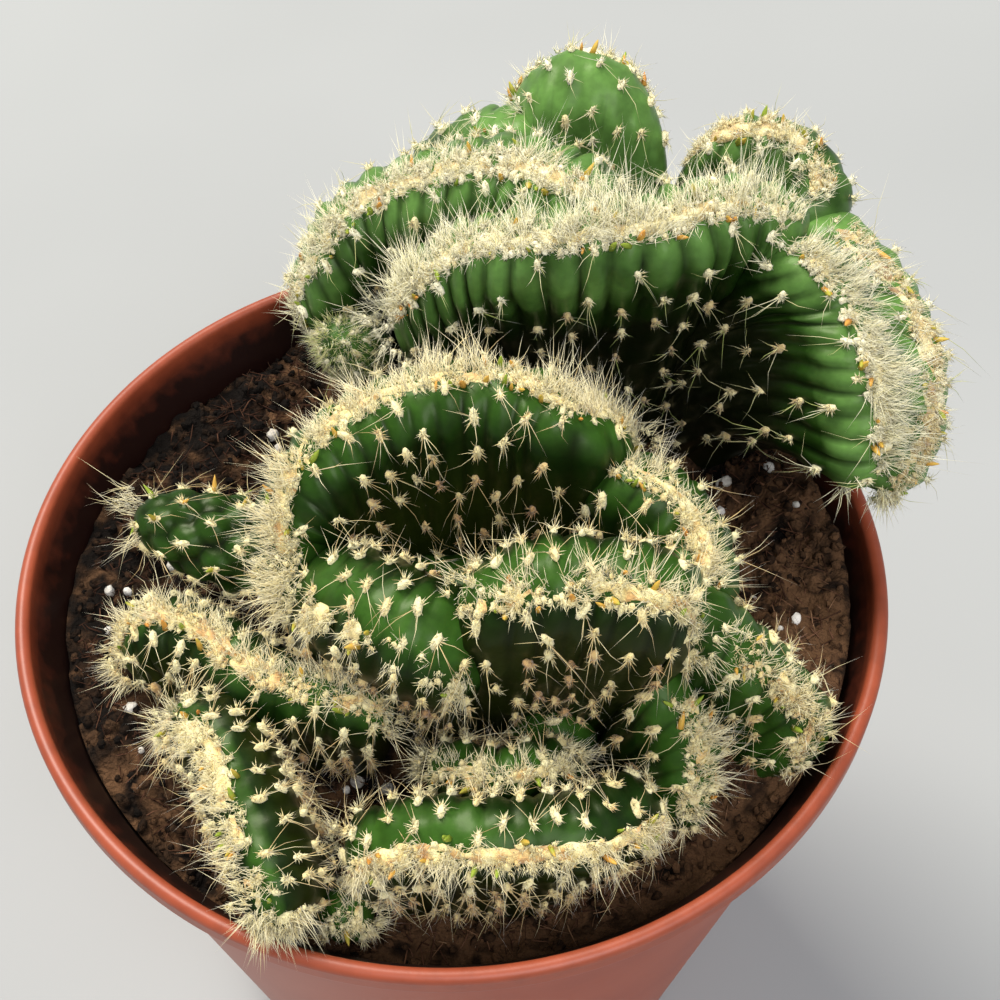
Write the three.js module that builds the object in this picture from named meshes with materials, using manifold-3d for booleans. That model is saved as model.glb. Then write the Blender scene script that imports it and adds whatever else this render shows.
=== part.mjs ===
// A crested jumping cholla in a round nursery pot.
// Millimetres, +Z up. The origin is the centre of the pot's flat underside,
// +Y points to the back of the plant and +X to its right.
import * as THREE from 'three';
import { mergeVertices } from 'three/addons/utils/BufferGeometryUtils.js';
import Module from 'manifold-3d';

const wasm = await Module();
wasm.setup();
const { Manifold, Mesh } = wasm;

const GAP = 0.3;
const FINEST = 0.04;

// Pot
const POT_HEIGHT = 92;
const RIM_RADIUS = 52.5;
const RIM_INNER = 50.7;
const RIM_DROP = 3.4;
const BASE_RADIUS = 38;
const SHOULDER_RADIUS = 50.4;
const WALL = 1.6;
const FLOOR = 2;
const POT_SIDES = 36;
const DRAIN_HOLES = 6;
const DRAIN_RADIUS = 3;
const DRAIN_CIRCLE = 24;
const DRAIN_SIDES = 12;

// Soil
const SOIL_LEVEL = 80;
const SOIL_RINGS = 7;
const SOIL_SIDES = 28;
const PERLITE_GRAINS = 14;
const HOLE_SIDES = 10;

// Crests
const FOOT_Z = 75;
const STEP = 3.4;
const FACE_LEVELS = [0, 0.55];
const WOOL_HALF = 20;
const RIB = 0.4;
const WOOL_THICK = 1.5;
const WOOL_ROOM = 1.2;

// Areoles
const ROW_SPACING = 9;
const ROW_DEPTHS = [5.5, 12, 19, 26];
const TUFT_RADIUS = 1;
const TUFT_HEIGHT = 1.1;
const SPINE_LENGTH = 5;
const SPINE_RADIUS = 0.3;
const SPINE_SHARE = 0.22;
const TUFT_SUNK = 0.45;
const SPINE_SUNK = 0.6;
const DROOP = 0.45;
const TUFT_ROOM = 1.4;
const SPINE_ROOM = 0.6;

// Each fan of a crested stem is a folded sheet of flesh. "top" is its crest
// line, "foot" the line where it stands in the soil, "bow" how far its middle
// is pushed aside, "lip" the radius of its rounded edge, "waist" and "root"
// its half thickness at mid height and at the foot, and "wool" the angle of
// the lip where the strip of wool runs, from front (-) over the edge to back.
const REAR = {
  wall: {
    top: [[-8, 23, 110], [-4, 20, 119], [2, 17, 127], [9, 14, 131], [16, 13, 133], [23, 13, 134],
      [30, 16, 134], [36, 17, 132], [40, 15, 130]],
    foot: [[0, 33], [10, 33], [20, 32], [29, 29]],
    bow: [0, 3, 0], lip: 5, waist: 5, root: 4.5, wool: -5,
  },
  lobe: {
    top: [[38, 13, 131], [41, 10, 129], [43.5, 7, 127], [45, 3, 125], [46, -0.5, 122], [47.2, -4, 117],
      [48, -6, 110.5]],
    foot: [[25, 31], [28, 30], [31, 27]],
    bow: [-3.5, 5, 12], lip: 4.5, waist: 6.5, root: 3, wool: 0,
  },
  outer: {
    top: [[48, -6, 110], [50.5, -5.5, 113], [53, -2, 116], [54, 2.5, 118], [54, 7, 120], [53, 12, 121],
      [51, 17, 122], [48, 21, 123], [45, 25, 125]],
    foot: [[28, 26], [32, 29], [28, 33]],
    bow: [-3, 5, 13], lip: 4, waist: 4.5, root: 3, wool: 25,
  },
  loop: {
    top: [[45, 24, 124], [44, 31, 127], [40, 36, 128], [34, 38, 127], [29, 39, 122]],
    foot: [[31, 25], [28, 30], [22, 34]],
    bow: [-1, -1, 2], lip: 4.5, waist: 4, root: 4, wool: 25,
  },
  left: {
    top: [[-20, 33, 98], [-20, 32, 106], [-17, 31, 113], [-13, 32, 119], [-8, 32, 123], [-2, 30, 127],
      [3, 28, 130], [8, 26, 132], [13, 22, 133], [19, 18, 133]],
    foot: [[-11, 34], [-4, 36], [5, 36], [13, 34]],
    bow: [0, 3, 0], lip: 6, waist: 5, root: 4.5, wool: -10,
  },
  upper: {
    top: [[-7, 42, 111], [-5, 42, 117], [-1, 42, 122], [4, 40, 126], [9, 38, 127], [14, 36, 125]],
    foot: [[-2, 39], [6, 40], [14, 37]],
    bow: [0, 2, 0], lip: 6, waist: 5, root: 4.5, wool: -45,
  },
  dome: {
    top: [[7, 42, 121], [9, 43, 128], [13, 43, 132], [19, 42, 132], [24, 41, 128], [27, 41, 121]],
    foot: [[8, 39], [14, 38], [21, 36]],
    bow: [0, 0, 0], lip: 5.5, waist: 5.5, root: 4.5, wool: 40,
  },
};

const FRONT = {
  arc: {
    top: [[-15, -12, 102], [-18, -9, 107], [-18, -6, 111], [-16, -3, 114], [-12, 0, 117], [-5, 3, 119],
      [2, 4, 120], [9, 3, 120], [14, 1, 118], [19, 3, 114], [22, 4, 108]],
    foot: [[-11, -9], [-8, -4], [0, -2], [9, -2], [13, -1]],
    bow: [0, 2, 0], lip: 5, waist: 5.5, root: 5, wool: 0,
  },
  wing: {
    top: [[17, 1, 111], [21, -2, 112], [25, -5, 112], [28, -8, 110], [29, -13, 109], [29, -17, 107]],
    foot: [[13, -4], [17, -8], [19, -14]],
    bow: [0, 0, 0], lip: 4.5, waist: 5, root: 5, wool: -15,
  },
  saddle: {
    top: [[-18.5, -10.5, 104], [-14, -14, 108], [-9, -18, 111], [-4, -21.5, 111], [1, -23, 109], [5, -24, 105]],
    foot: [[-9, -13], [-3, -15], [4, -15]],
    bow: [0, 3, 0], lip: 6.5, waist: 6, root: 5, wool: -35,
  },
  ridge: {
    top: [[1, -18, 113], [6, -19, 115], [11, -19, 117], [16, -19, 117], [21, -20, 117], [25, -20, 115],
      [28, -21, 110]],
    foot: [[0, -12], [10, -11], [20, -14]],
    bow: [0, -3, 2], lip: 6, waist: 6, root: 5, wool: -25,
  },
  tail: {
    top: [[26, -19, 112], [30, -20, 108], [34, -21, 104], [38, -22, 100], [41, -25, 96], [40, -28, 89]],
    foot: [[18, -17], [25, -20], [32, -24]],
    bow: [0, 1, 0], lip: 4, waist: 4.5, root: 4.5, wool: -30,
  },
  bowl: {
    top: [[21, -22, 103], [24, -24, 102], [27, -28, 98], [27, -32, 93], [25, -34, 90]],
    foot: [[16, -20], [19, -24], [18, -29]],
    bow: [0, 0, 0], lip: 3.5, waist: 4.5, root: 4.5, wool: 0,
  },
  inner: {
    top: [[-3, -28, 92], [1, -30, 96], [5, -32, 97], [9, -31, 97], [14, -28, 94]],
    foot: [[1, -25], [6, -24], [11, -23]],
    bow: [0, 0, 0], lip: 3, waist: 4, root: 4, wool: -15,
  },
  sill: {
    top: [[-12, -38, 89], [-9, -39, 95], [-3, -39, 99], [4, -40, 100], [10, -40, 100], [16, -39, 99],
      [20, -36, 97], [24, -33, 93]],
    foot: [[-7, -35], [4, -36], [16, -31]],
    bow: [0, 1, 0], lip: 4.5, waist: 4.5, root: 4.5, wool: -30,
  },
  lower: {
    top: [[-32, -19, 89], [-30, -22, 94], [-26, -26, 98], [-23, -31, 99], [-21, -36, 100], [-19, -41, 100],
      [-18, -45, 99], [-17, -49, 97]],
    foot: [[-28, -18], [-21, -27], [-15, -37]],
    bow: [0, 0, 0], lip: 4.5, waist: 4.5, root: 4.5, wool: -20,
  },
  valley: {
    top: [[-13, -10, 102], [-4, -8, 100], [6, -8, 100], [16, -9, 100], [23, -12, 101]],
    foot: [[-8, -11], [4, -9], [16, -12]],
    bow: [0, 0, 0], lip: 5, waist: 6, root: 5, wool: null,
  },
  stock: {
    top: [[12, -14, 92], [12, -20, 91], [11, -26, 90], [9, -32, 90], [6, -37, 90]],
    foot: [[12, -14], [11, -25], [6, -36]],
    bow: [0, 0, 0], lip: 5, waist: 5, root: 5, wool: null,
  },
  knob: {
    top: [[-15, -43, 85], [-12, -44, 88], [-8, -43, 86]],
    foot: [[-15, -37], [-9, -37]],
    bow: [0, 0, 0], lip: 2.5, waist: 3, root: 3, wool: 0,
  },
  side: {
    top: [[-41, -11, 87], [-38, -9, 92], [-33, -10, 95], [-28, -13, 96], [-23, -18, 97], [-18, -21, 98],
      [-12, -23, 99], [-6, -25, 97]],
    foot: [[-32, -12], [-20, -17], [-8, -18]],
    bow: [0, 1, 0], lip: 4.5, waist: 5, root: 4.5, wool: 0,
  },
};

// Two short egg-shaped shoots: axis from the root to the tip, the radius, and
// the rings of areoles on them as shares of the length.
const SHOOT = { root: [-13, -4, 94], tip: [-38, 3, 97], radius: 5.3, bands: [0.62, 0.78, 0.9] };
const BUD = { root: [-9, 31, 96], tip: [-15, 23, 106], radius: 4, bands: [0.8, 0.92] };
const SHOOT_SIDES = 12;
const SHOOT_RINGS = 8;
const SHOOT_BUMP = 0.07;

function random(seed) {
  let state = seed;
  return () => {
    state = (Math.imul(state, 1664525) + 1013904223) >>> 0;
    return state / 4294967296;
  };
}

// Smooth curve through the given points, u from 0 to 1.
function spline(points, u) {
  const last = points.length - 1;
  const s = Math.min(Math.max(u, 0), 1) * last;
  const k = Math.min(Math.floor(s), last - 1);
  const f = s - k;
  const size = points[0].length;
  const point = (i, axis) => {
    if (i < 0) {
      return 2 * points[0][axis] - points[1][axis];
    }
    if (i > last) {
      return 2 * points[last][axis] - points[last - 1][axis];
    }
    return points[i][axis];
  };
  const out = [];
  for (let axis = 0; axis < size; axis += 1) {
    const a = point(k - 1, axis);
    const b = point(k, axis);
    const c = point(k + 1, axis);
    const d = point(k + 2, axis);
    const linear = (c - a) * f;
    const square = (2 * a - 5 * b + 4 * c - d) * f * f;
    const cube = (3 * b - a - 3 * c + d) * f * f * f;
    out.push(0.5 * (2 * b + linear + square + cube));
  }
  return out;
}

const vec = (p) => new THREE.Vector3(p[0], p[1], p[2]);

// Even stations along the crest line of a fan.
function stations(fan) {
  const samples = 200;
  const lengths = [0];
  let before = vec(spline(fan.top, 0));
  for (let i = 1; i <= samples; i += 1) {
    const here = vec(spline(fan.top, i / samples));
    lengths.push(lengths[i - 1] + here.distanceTo(before));
    before = here;
  }
  const total = lengths[samples];
  const count = Math.max(4, 2 * Math.round(total / STEP / 2));
  const list = [];
  for (let k = 0; k <= count; k += 1) {
    const want = total * k / count;
    let i = 0;
    while (i < samples - 1 && lengths[i + 1] < want) {
      i += 1;
    }
    const part = (want - lengths[i]) / (lengths[i + 1] - lengths[i]);
    list.push({ u: (i + part) / samples, share: k / count, run: want, total });
  }
  return list;
}

// Centre line of the fan's section at one station: a curve from the foot up
// to the centre of the lip, bent sideways by the bow.
function section(fan, station) {
  const top = vec(spline(fan.top, station.u));
  const ground = spline(fan.foot, station.share);
  const foot = new THREE.Vector3(ground[0], ground[1], FOOT_Z);
  const middle = foot.clone().add(top).multiplyScalar(0.5).add(vec(fan.bow));
  const rise = top.clone().sub(middle).normalize();
  const lip = top.clone().addScaledVector(rise, -fan.lip);
  const away = Math.min(station.run, station.total - station.run);
  const near = Math.min(Math.max(away / fan.lip, 0), 1);
  const ease = 0.25 + 0.75 * Math.sqrt(1 - (1 - near) * (1 - near));
  return { foot, middle, lip, rise, ease };
}

function centre(part, h) {
  const g = 1 - h;
  return new THREE.Vector3()
    .addScaledVector(part.foot, g * g)
    .addScaledVector(part.middle, 2 * g * h)
    .addScaledVector(part.lip, h * h);
}

function climb(part, h) {
  const low = part.middle.clone().sub(part.foot).multiplyScalar(1 - h);
  const high = part.lip.clone().sub(part.middle).multiplyScalar(h);
  return low.add(high).normalize();
}

function halfThickness(fan, h) {
  const g = 1 - h;
  return fan.root * g * g + fan.waist * 2 * g * h + fan.lip * h * h;
}

// Everything the surfaces of a fan need: sections and side directions.
function layout(fan) {
  const marks = stations(fan);
  const parts = marks.map((mark) => section(fan, mark));
  const side = (k, h) => {
    const before = parts[Math.max(k - 1, 0)];
    const after = parts[Math.min(k + 1, parts.length - 1)];
    const along = centre(after, h).sub(centre(before, h));
    return along.cross(climb(parts[k], h)).normalize();
  };
  const drift = (k) => {
    const before = parts[Math.max(k - 1, 0)];
    const after = parts[Math.min(k + 1, parts.length - 1)];
    return after.lip.clone().sub(before.lip).normalize();
  };
  return { fan, marks, parts, side, drift };
}

function lipAngles(fan) {
  if (fan.wool === null) {
    return [-90, -45, 0, 45, 90];
  }
  const low = fan.wool - WOOL_HALF;
  const high = fan.wool + WOOL_HALF;
  return [-90, (low - 90) / 2, low, high, (high + 90) / 2, 90];
}

function lipPoint(plan, k, degrees, radius) {
  const angle = degrees * Math.PI / 180;
  const part = plan.parts[k];
  return part.lip.clone()
    .addScaledVector(part.rise, radius * Math.cos(angle))
    .addScaledVector(plan.side(k, 1), -radius * Math.sin(angle));
}

function closedSolid(rings) {
  const size = rings[0].length;
  const points = [];
  const faces = [];
  for (const ring of rings) {
    for (const p of ring) {
      points.push(p.x, p.y, p.z);
    }
  }
  for (let k = 0; k < rings.length - 1; k += 1) {
    for (let j = 0; j < size; j += 1) {
      const next = (j + 1) % size;
      const a = k * size + j;
      const b = k * size + next;
      const c = (k + 1) * size + j;
      const d = (k + 1) * size + next;
      faces.push(a, c, d, a, d, b);
    }
  }
  const cap = (base, flip) => {
    let low = 0;
    let high = size - 1;
    while (high - low > 1) {
      const tri = [base + low, base + low + 1, base + high];
      faces.push(...(flip ? tri.reverse() : tri));
      low += 1;
      if (high - low > 1) {
        const other = [base + low, base + high - 1, base + high];
        faces.push(...(flip ? other.reverse() : other));
        high -= 1;
      }
    }
  };
  cap(0, false);
  cap((rings.length - 1) * size, true);
  return fromArrays(points, faces);
}

function fromArrays(points, faces) {
  let volume = 0;
  for (let i = 0; i < faces.length; i += 3) {
    const [a, b, c] = [faces[i], faces[i + 1], faces[i + 2]].map((n) => vec(points.slice(3 * n, 3 * n + 3)));
    volume += a.dot(b.cross(c));
  }
  if (volume < 0) {
    faces.reverse();
  }
  return new Manifold(new Mesh({
    numProp: 3,
    vertProperties: new Float32Array(points),
    triVerts: new Uint32Array(faces),
  }));
}

// The green flesh of one fan, grown on all sides by "grow".
function flesh(plan, grow) {
  const { fan, parts } = plan;
  const rings = parts.map((part, k) => {
    const shift = new THREE.Vector3();
    if (k === 0) {
      shift.addScaledVector(plan.drift(k), -grow);
    }
    if (k === parts.length - 1) {
      shift.addScaledVector(plan.drift(k), grow);
    }
    const ring = [];
    const face = (h, sign) => {
      const fold = h > 0 && k > 0 && k < parts.length - 1 ? RIB * (k % 2 === 0 ? 1 : -1) : 0;
      const out = halfThickness(fan, h) * part.ease + grow + fold * part.ease;
      const p = centre(part, h).addScaledVector(plan.side(k, h), sign * out);
      if (h === 0) {
        p.z -= grow;
      }
      return p.add(shift);
    };
    for (const h of FACE_LEVELS) {
      ring.push(face(h, 1));
    }
    for (const degrees of lipAngles(fan)) {
      ring.push(lipPoint(plan, k, degrees, fan.lip * part.ease + grow).add(shift));
    }
    for (const h of [...FACE_LEVELS].reverse()) {
      ring.push(face(h, -1));
    }
    return ring;
  });
  return closedSolid(rings);
}

// The wool on the lip: a thick uneven strip, a gap off the flesh, grown on
// its outside by "grow".
function woolStrip(plan, seed, grow) {
  const { fan, parts } = plan;
  const chance = random(seed);
  const widen = grow / fan.lip * 180 / Math.PI;
  const rings = parts.map((part, k) => {
    const inner = fan.lip * part.ease + GAP;
    const half = WOOL_HALF + 1.5 * widen;
    const under = [-half, half].map((a) => lipPoint(plan, k, fan.wool + a, inner));
    const over = [half, 0, -half].map((a) => {
      const pile = WOOL_THICK * part.ease * (0.7 + 0.6 * chance()) * (a === 0 ? 1 : 0.6);
      return lipPoint(plan, k, fan.wool + 1.15 * a, inner + pile + grow);
    });
    const shift = k === 0 ? -grow : (k === parts.length - 1 ? grow : 0);
    return under.concat(over).map((p) => p.addScaledVector(plan.drift(k), shift));
  });
  return closedSolid(rings);
}

function largest(body) {
  let best = null;
  for (const piece of body.decompose()) {
    if (best === null || piece.volume() > best.volume()) {
      best = piece;
    }
  }
  return best;
}

// Axes of a shoot: along it, across it and over its back.
function shootAxes(spec) {
  const along = vec(spec.tip).sub(vec(spec.root));
  const length = along.length();
  along.normalize();
  const across = new THREE.Vector3(0, 0, 1).cross(along).normalize();
  return { length, along, across, over: along.clone().cross(across) };
}

// Radius of a shoot at the share s of its length: a round neck, then half an
// ellipse to the tip.
function shootRadius(spec, s) {
  const swell = Math.sqrt(1 - Math.pow(2 * Math.max(s, 0.5) - 1, 2));
  return spec.radius * Math.max(swell, 0.2);
}

// A stretched ball from root to tip with blunt bumps.
function shoot(spec, grow) {
  const { length, along, across, over } = shootAxes(spec);
  const rings = [];
  for (let k = 0; k <= SHOOT_RINGS; k += 1) {
    const s = 0.03 + 0.96 * k / SHOOT_RINGS;
    const radius = shootRadius(spec, s);
    const ring = [];
    for (let j = 0; j < SHOOT_SIDES; j += 1) {
      const angle = 2 * Math.PI * (j + 0.5 * (k % 2)) / SHOOT_SIDES;
      const bump = 1 + SHOOT_BUMP * (j % 2 === 0 ? 1 : -1);
      ring.push(vec(spec.root)
        .addScaledVector(along, length * s + (k === SHOOT_RINGS ? grow : 0))
        .addScaledVector(across, (radius * bump + grow) * Math.cos(angle))
        .addScaledVector(over, (radius * bump + grow) * Math.sin(angle)));
    }
    rings.push(ring);
  }
  return closedSolid(rings);
}

const rearPlans = Object.values(REAR).map(layout);
const frontPlans = Object.values(FRONT).map(layout);
const allPlans = rearPlans.concat(frontPlans);

// Points spread through a fan with the half thickness there, used to see
// whether a spot is free or buried in a neighbouring fan.
const lattices = new Map(allPlans.map((plan) => {
  const spots = [];
  plan.parts.forEach((part, k) => {
    for (let h = 0.1; h <= 1.001; h += 0.06) {
      spots.push({ at: centre(part, h), reach: halfThickness(plan.fan, h) * part.ease });
    }
    spots.push({ at: part.lip, reach: plan.fan.lip * part.ease + (plan.fan.wool === null ? 0 : WOOL_ROOM) });
  });
  return [plan, spots];
}));

function isFree(point, own, margin) {
  for (const [plan, spots] of lattices) {
    if (plan === own) {
      continue;
    }
    for (const spot of spots) {
      if (spot.at.distanceTo(point) < spot.reach + margin) {
        return false;
      }
    }
  }
  return true;
}

function cone(base, direction, radius, height, sides, turn) {
  const axis = direction.clone().normalize();
  const helper = Math.abs(axis.z) < 0.9 ? new THREE.Vector3(0, 0, 1) : new THREE.Vector3(1, 0, 0);
  const across = helper.cross(axis).normalize();
  const over = axis.clone().cross(across);
  const points = [];
  const faces = [];
  for (let j = 0; j < sides; j += 1) {
    const angle = turn + 2 * Math.PI * j / sides;
    const p = base.clone()
      .addScaledVector(across, radius * Math.cos(angle))
      .addScaledVector(over, radius * Math.sin(angle));
    points.push(p.x, p.y, p.z);
  }
  const tip = base.clone().addScaledVector(axis, height);
  points.push(tip.x, tip.y, tip.z);
  for (let j = 0; j < sides; j += 1) {
    faces.push(j, (j + 1) % sides, sides);
    if (j > 0 && j < sides - 1) {
      faces.push(0, j + 1, j);
    }
  }
  return fromArrays(points, faces);
}

// Areoles around a shoot, in rings that are turned against each other.
function shootAreoles(spec, seed) {
  const chance = random(seed);
  const { length, along, across, over } = shootAxes(spec);
  const bits = [];
  spec.bands.forEach((s, band) => {
    const count = Math.round(SHOOT_SIDES / 2 - band);
    for (let j = 0; j < count; j += 1) {
      const angle = 2 * Math.PI * (j + 0.5 * (band % 2)) / count;
      const normal = across.clone().multiplyScalar(Math.cos(angle))
        .addScaledVector(over, Math.sin(angle))
        .addScaledVector(along, 2 * (s - 0.5))
        .normalize();
      const skin = vec(spec.root)
        .addScaledVector(along, length * s)
        .addScaledVector(across, shootRadius(spec, s) * Math.cos(angle))
        .addScaledVector(over, shootRadius(spec, s) * Math.sin(angle));
      const swing = chance() - 0.5;
      if (isFree(skin, null, TUFT_ROOM)) {
        bits.push({ skin, normal, up: along, along: across, turn: chance(), swing, plan: null });
      }
    }
  });
  return bits;
}

// Areoles on both faces of a fan, in staggered rows below its lip.
function areoles(plan, seed) {
  const chance = random(seed);
  const { fan, marks, parts } = plan;
  const bits = [];
  const total = marks[0].total;
  const rows = Math.max(1, Math.round(total / ROW_SPACING));
  for (const sign of [1, -1]) {
    ROW_DEPTHS.forEach((depth, level) => {
      for (let row = 0; row < rows; row += 1) {
        const want = total * (row + 0.5 + (level % 2 === 0 ? 0.2 : -0.2) + 0.2 * (chance() - 0.5)) / rows;
        const lift = 1.6 * (chance() - 0.5);
        const turn = chance();
        const swing = chance() - 0.5;
        const k = Math.min(Math.max(Math.round(want / total * (parts.length - 1)), 1), parts.length - 2);
        const part = parts[k];
        const reach = part.lip.distanceTo(part.foot);
        const arc = fan.lip * Math.PI / 2;
        const fall = Math.max(depth + lift - arc, 0);
        const h = 1 - fall / reach;
        if (h < 0.25) {
          continue;
        }
        let normal = plan.side(k, h).multiplyScalar(sign);
        let skin;
        if (fall > 0) {
          skin = centre(part, h).addScaledVector(normal, halfThickness(fan, h) * part.ease);
        } else {
          const degrees = -sign * (depth + lift) / fan.lip * 180 / Math.PI;
          if (fan.wool !== null && Math.abs(degrees - fan.wool) < WOOL_HALF + 16) {
            continue;
          }
          skin = lipPoint(plan, k, degrees, fan.lip * part.ease);
          normal = skin.clone().sub(part.lip).normalize();
        }
        if (skin.z < SOIL_LEVEL + 5 || !isFree(skin, plan, TUFT_ROOM)) {
          continue;
        }
        bits.push({ skin, normal, up: climb(part, h), along: plan.drift(k), turn, swing, plan });
      }
    });
  }
  return bits;
}

// Whether a point is clear of the pot's wall, which only tips above the rim
// may lean over.
function insideRim(p) {
  const lean = 2 * Math.max(0, p.z - POT_HEIGHT - 2);
  return Math.hypot(p.x, p.y) < RIM_INNER - 4.7 + lean && p.z > SOIL_LEVEL + 3;
}

// For each areole a squat tuft, and on some of them a spine that leans down.
function tuftSolids(bits) {
  const solids = [];
  for (const bit of bits) {
    const base = bit.skin.clone().addScaledVector(bit.normal, -TUFT_SUNK);
    solids.push(cone(base, bit.normal, TUFT_RADIUS, TUFT_HEIGHT + TUFT_SUNK, 3, bit.turn * 6));
    const lean = bit.normal.clone()
      .addScaledVector(bit.up, -DROOP)
      .addScaledVector(bit.along, bit.swing)
      .normalize();
    const root = bit.skin.clone().addScaledVector(bit.normal, -SPINE_SUNK);
    const length = SPINE_LENGTH * (0.7 + 0.5 * bit.turn);
    const clear = [0.5, 1.0].every((s) => {
      const p = root.clone().addScaledVector(lean, length * s);
      return isFree(p, bit.plan, SPINE_ROOM) && insideRim(p);
    });
    if (clear && (bit.turn * 7.3) % 1 < SPINE_SHARE) {
      solids.push(cone(root, lean, SPINE_RADIUS, length, 3, bit.turn * 9));
    }
  }
  return solids;
}

// One crested stem: its fans and its shoot in one body with the areoles.
function crest(plans, spec, seed) {
  const bodies = plans.map((plan) => flesh(plan, 0)).concat(shoot(spec, 0));
  const fans = largest(Manifold.union(bodies));
  const tufts = plans.flatMap((plan, i) => areoles(plan, seed + 17 * i));
  const all = tufts.concat(shootAreoles(spec, seed));
  return largest(Manifold.union([fans, ...tuftSolids(all)]));
}

const rearBody = crest(rearPlans, BUD, 11);
const frontBody = crest(frontPlans, SHOOT, 503);

// All the flesh grown by the gap, for clearing room in the wool and the soil.
const grownFans = new Map(allPlans.map((plan) => [plan, flesh(plan, GAP)]));
const grownShoots = [shoot(BUD, GAP), shoot(SHOOT, GAP)];

// One strip of wool for each fan that has any, kept clear of the other fans
// and of the strips before it.
function wool(plans, seed) {
  const taken = [];
  return plans.filter((plan) => plan.fan.wool !== null).map((plan, i) => {
    const others = [...grownFans].filter(([other]) => other !== plan).map(([, body]) => body);
    const blocked = Manifold.union(others.concat(grownShoots, taken));
    taken.push(woolStrip(plan, seed + 31 * i, GAP));
    return largest(woolStrip(plan, seed + 31 * i, 0).subtract(blocked));
  });
}

function toGeometry(body) {
  const mesh = body.simplify(FINEST).getMesh();
  let geometry = new THREE.BufferGeometry();
  const xyz = new Float32Array(mesh.numVert * 3);
  for (let i = 0; i < mesh.numVert; i += 1) {
    for (let axis = 0; axis < 3; axis += 1) {
      xyz[3 * i + axis] = mesh.vertProperties[i * mesh.numProp + axis];
    }
  }
  geometry.setAttribute('position', new THREE.BufferAttribute(xyz, 3));
  geometry.setIndex(new THREE.BufferAttribute(new Uint32Array(mesh.triVerts), 1));
  geometry = mergeVertices(geometry, 1e-5);
  geometry.computeVertexNormals();
  return geometry;
}

function fromGeometry(source) {
  let geometry = source.clone();
  geometry.deleteAttribute('normal');
  geometry.deleteAttribute('uv');
  geometry = mergeVertices(geometry, 1e-4);
  return fromArrays([...geometry.attributes.position.array], [...geometry.index.array]);
}

function lathe(profile, sides) {
  const shape = new THREE.LatheGeometry(profile.map(([r, z]) => new THREE.Vector2(r, z)), sides);
  shape.rotateX(Math.PI / 2);
  return fromGeometry(shape);
}

const wallRadius = (z) => BASE_RADIUS + (SHOULDER_RADIUS - BASE_RADIUS) * z / (POT_HEIGHT - RIM_DROP);

function makePot() {
  const shoulder = POT_HEIGHT - RIM_DROP;
  const profile = [
    [0, 0],
    [BASE_RADIUS - 1.5, 0],
    [wallRadius(1.5), 1.5],
    [wallRadius(shoulder - 1.5), shoulder - 1.5],
    [RIM_RADIUS - 0.6, shoulder - 0.6],
    [RIM_RADIUS, shoulder + 0.4],
    [RIM_RADIUS, POT_HEIGHT - 0.7],
    [RIM_RADIUS - 0.6, POT_HEIGHT],
    [RIM_INNER + 0.5, POT_HEIGHT],
    [RIM_INNER, POT_HEIGHT - 0.6],
    [RIM_INNER - 0.3, POT_HEIGHT - 3],
    [wallRadius(shoulder - 4) - WALL, shoulder - 4],
    [wallRadius(FLOOR + 1) - WALL, FLOOR + 1],
    [wallRadius(FLOOR) - WALL - 1, FLOOR],
    [0, FLOOR],
  ];
  let pot = lathe(profile, POT_SIDES);
  for (let i = 0; i < DRAIN_HOLES; i += 1) {
    const angle = 2 * Math.PI * (i + 0.5) / DRAIN_HOLES;
    const hole = new THREE.CylinderGeometry(DRAIN_RADIUS, DRAIN_RADIUS, FLOOR + 4, DRAIN_SIDES);
    hole.rotateX(Math.PI / 2);
    hole.translate(DRAIN_CIRCLE * Math.cos(angle), DRAIN_CIRCLE * Math.sin(angle), FLOOR / 2);
    pot = pot.subtract(fromGeometry(hole));
  }
  return pot;
}

// Height of the crumbly soil surface.
function soilHeight(x, y) {
  const broad = 0.8 * Math.sin(0.11 * x + 0.7) * Math.cos(0.13 * y - 0.4);
  const lumps = 0.7 * Math.sin(0.47 * x + 1.3 * Math.sin(0.31 * y)) * Math.cos(0.43 * y + 0.9);
  const crumbs = 0.45 * Math.sin(1.3 * x + 0.6 * y) * Math.sin(0.9 * y - 1.1 * x);
  return SOIL_LEVEL + broad + lumps + crumbs;
}

// A plain upright hole around the foot of a fan: the narrowest room with
// HOLE_SIDES flat sides that holds the flesh in the soil and the gap.
function footHole(plan) {
  const spots = [];
  plan.parts.forEach((part, k) => {
    const upper = FACE_LEVELS[1];
    for (const sign of [1, -1]) {
      const edge = (h) => centre(part, h)
        .addScaledVector(plan.side(k, h), sign * (halfThickness(plan.fan, h) * part.ease + (h > 0 ? RIB : 0)));
      const a = edge(0);
      const b = edge(upper);
      const s = (SOIL_LEVEL + 2 - a.z) / (b.z - a.z);
      spots.push(a, a.clone().lerp(b, s));
    }
  });
  const corners = [];
  const turn = 2 * Math.PI / HOLE_SIDES;
  const reach = (i) => {
    const [c, s] = [Math.cos(i * turn), Math.sin(i * turn)];
    return GAP + Math.max(...spots.map((p) => p.x * c + p.y * s));
  };
  for (let i = 0; i < HOLE_SIDES; i += 1) {
    const [near, next] = [reach(i), reach(i + 1)];
    const along = (next - near * Math.cos(turn)) / Math.sin(turn);
    const x = near * Math.cos(i * turn) - along * Math.sin(i * turn);
    const y = near * Math.sin(i * turn) + along * Math.cos(i * turn);
    corners.push([x, y]);
  }
  const levels = [FOOT_Z - 4, SOIL_LEVEL + 6];
  return closedSolid(levels.map((z) => corners.map(([x, y]) => new THREE.Vector3(x, y, z))));
}

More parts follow.
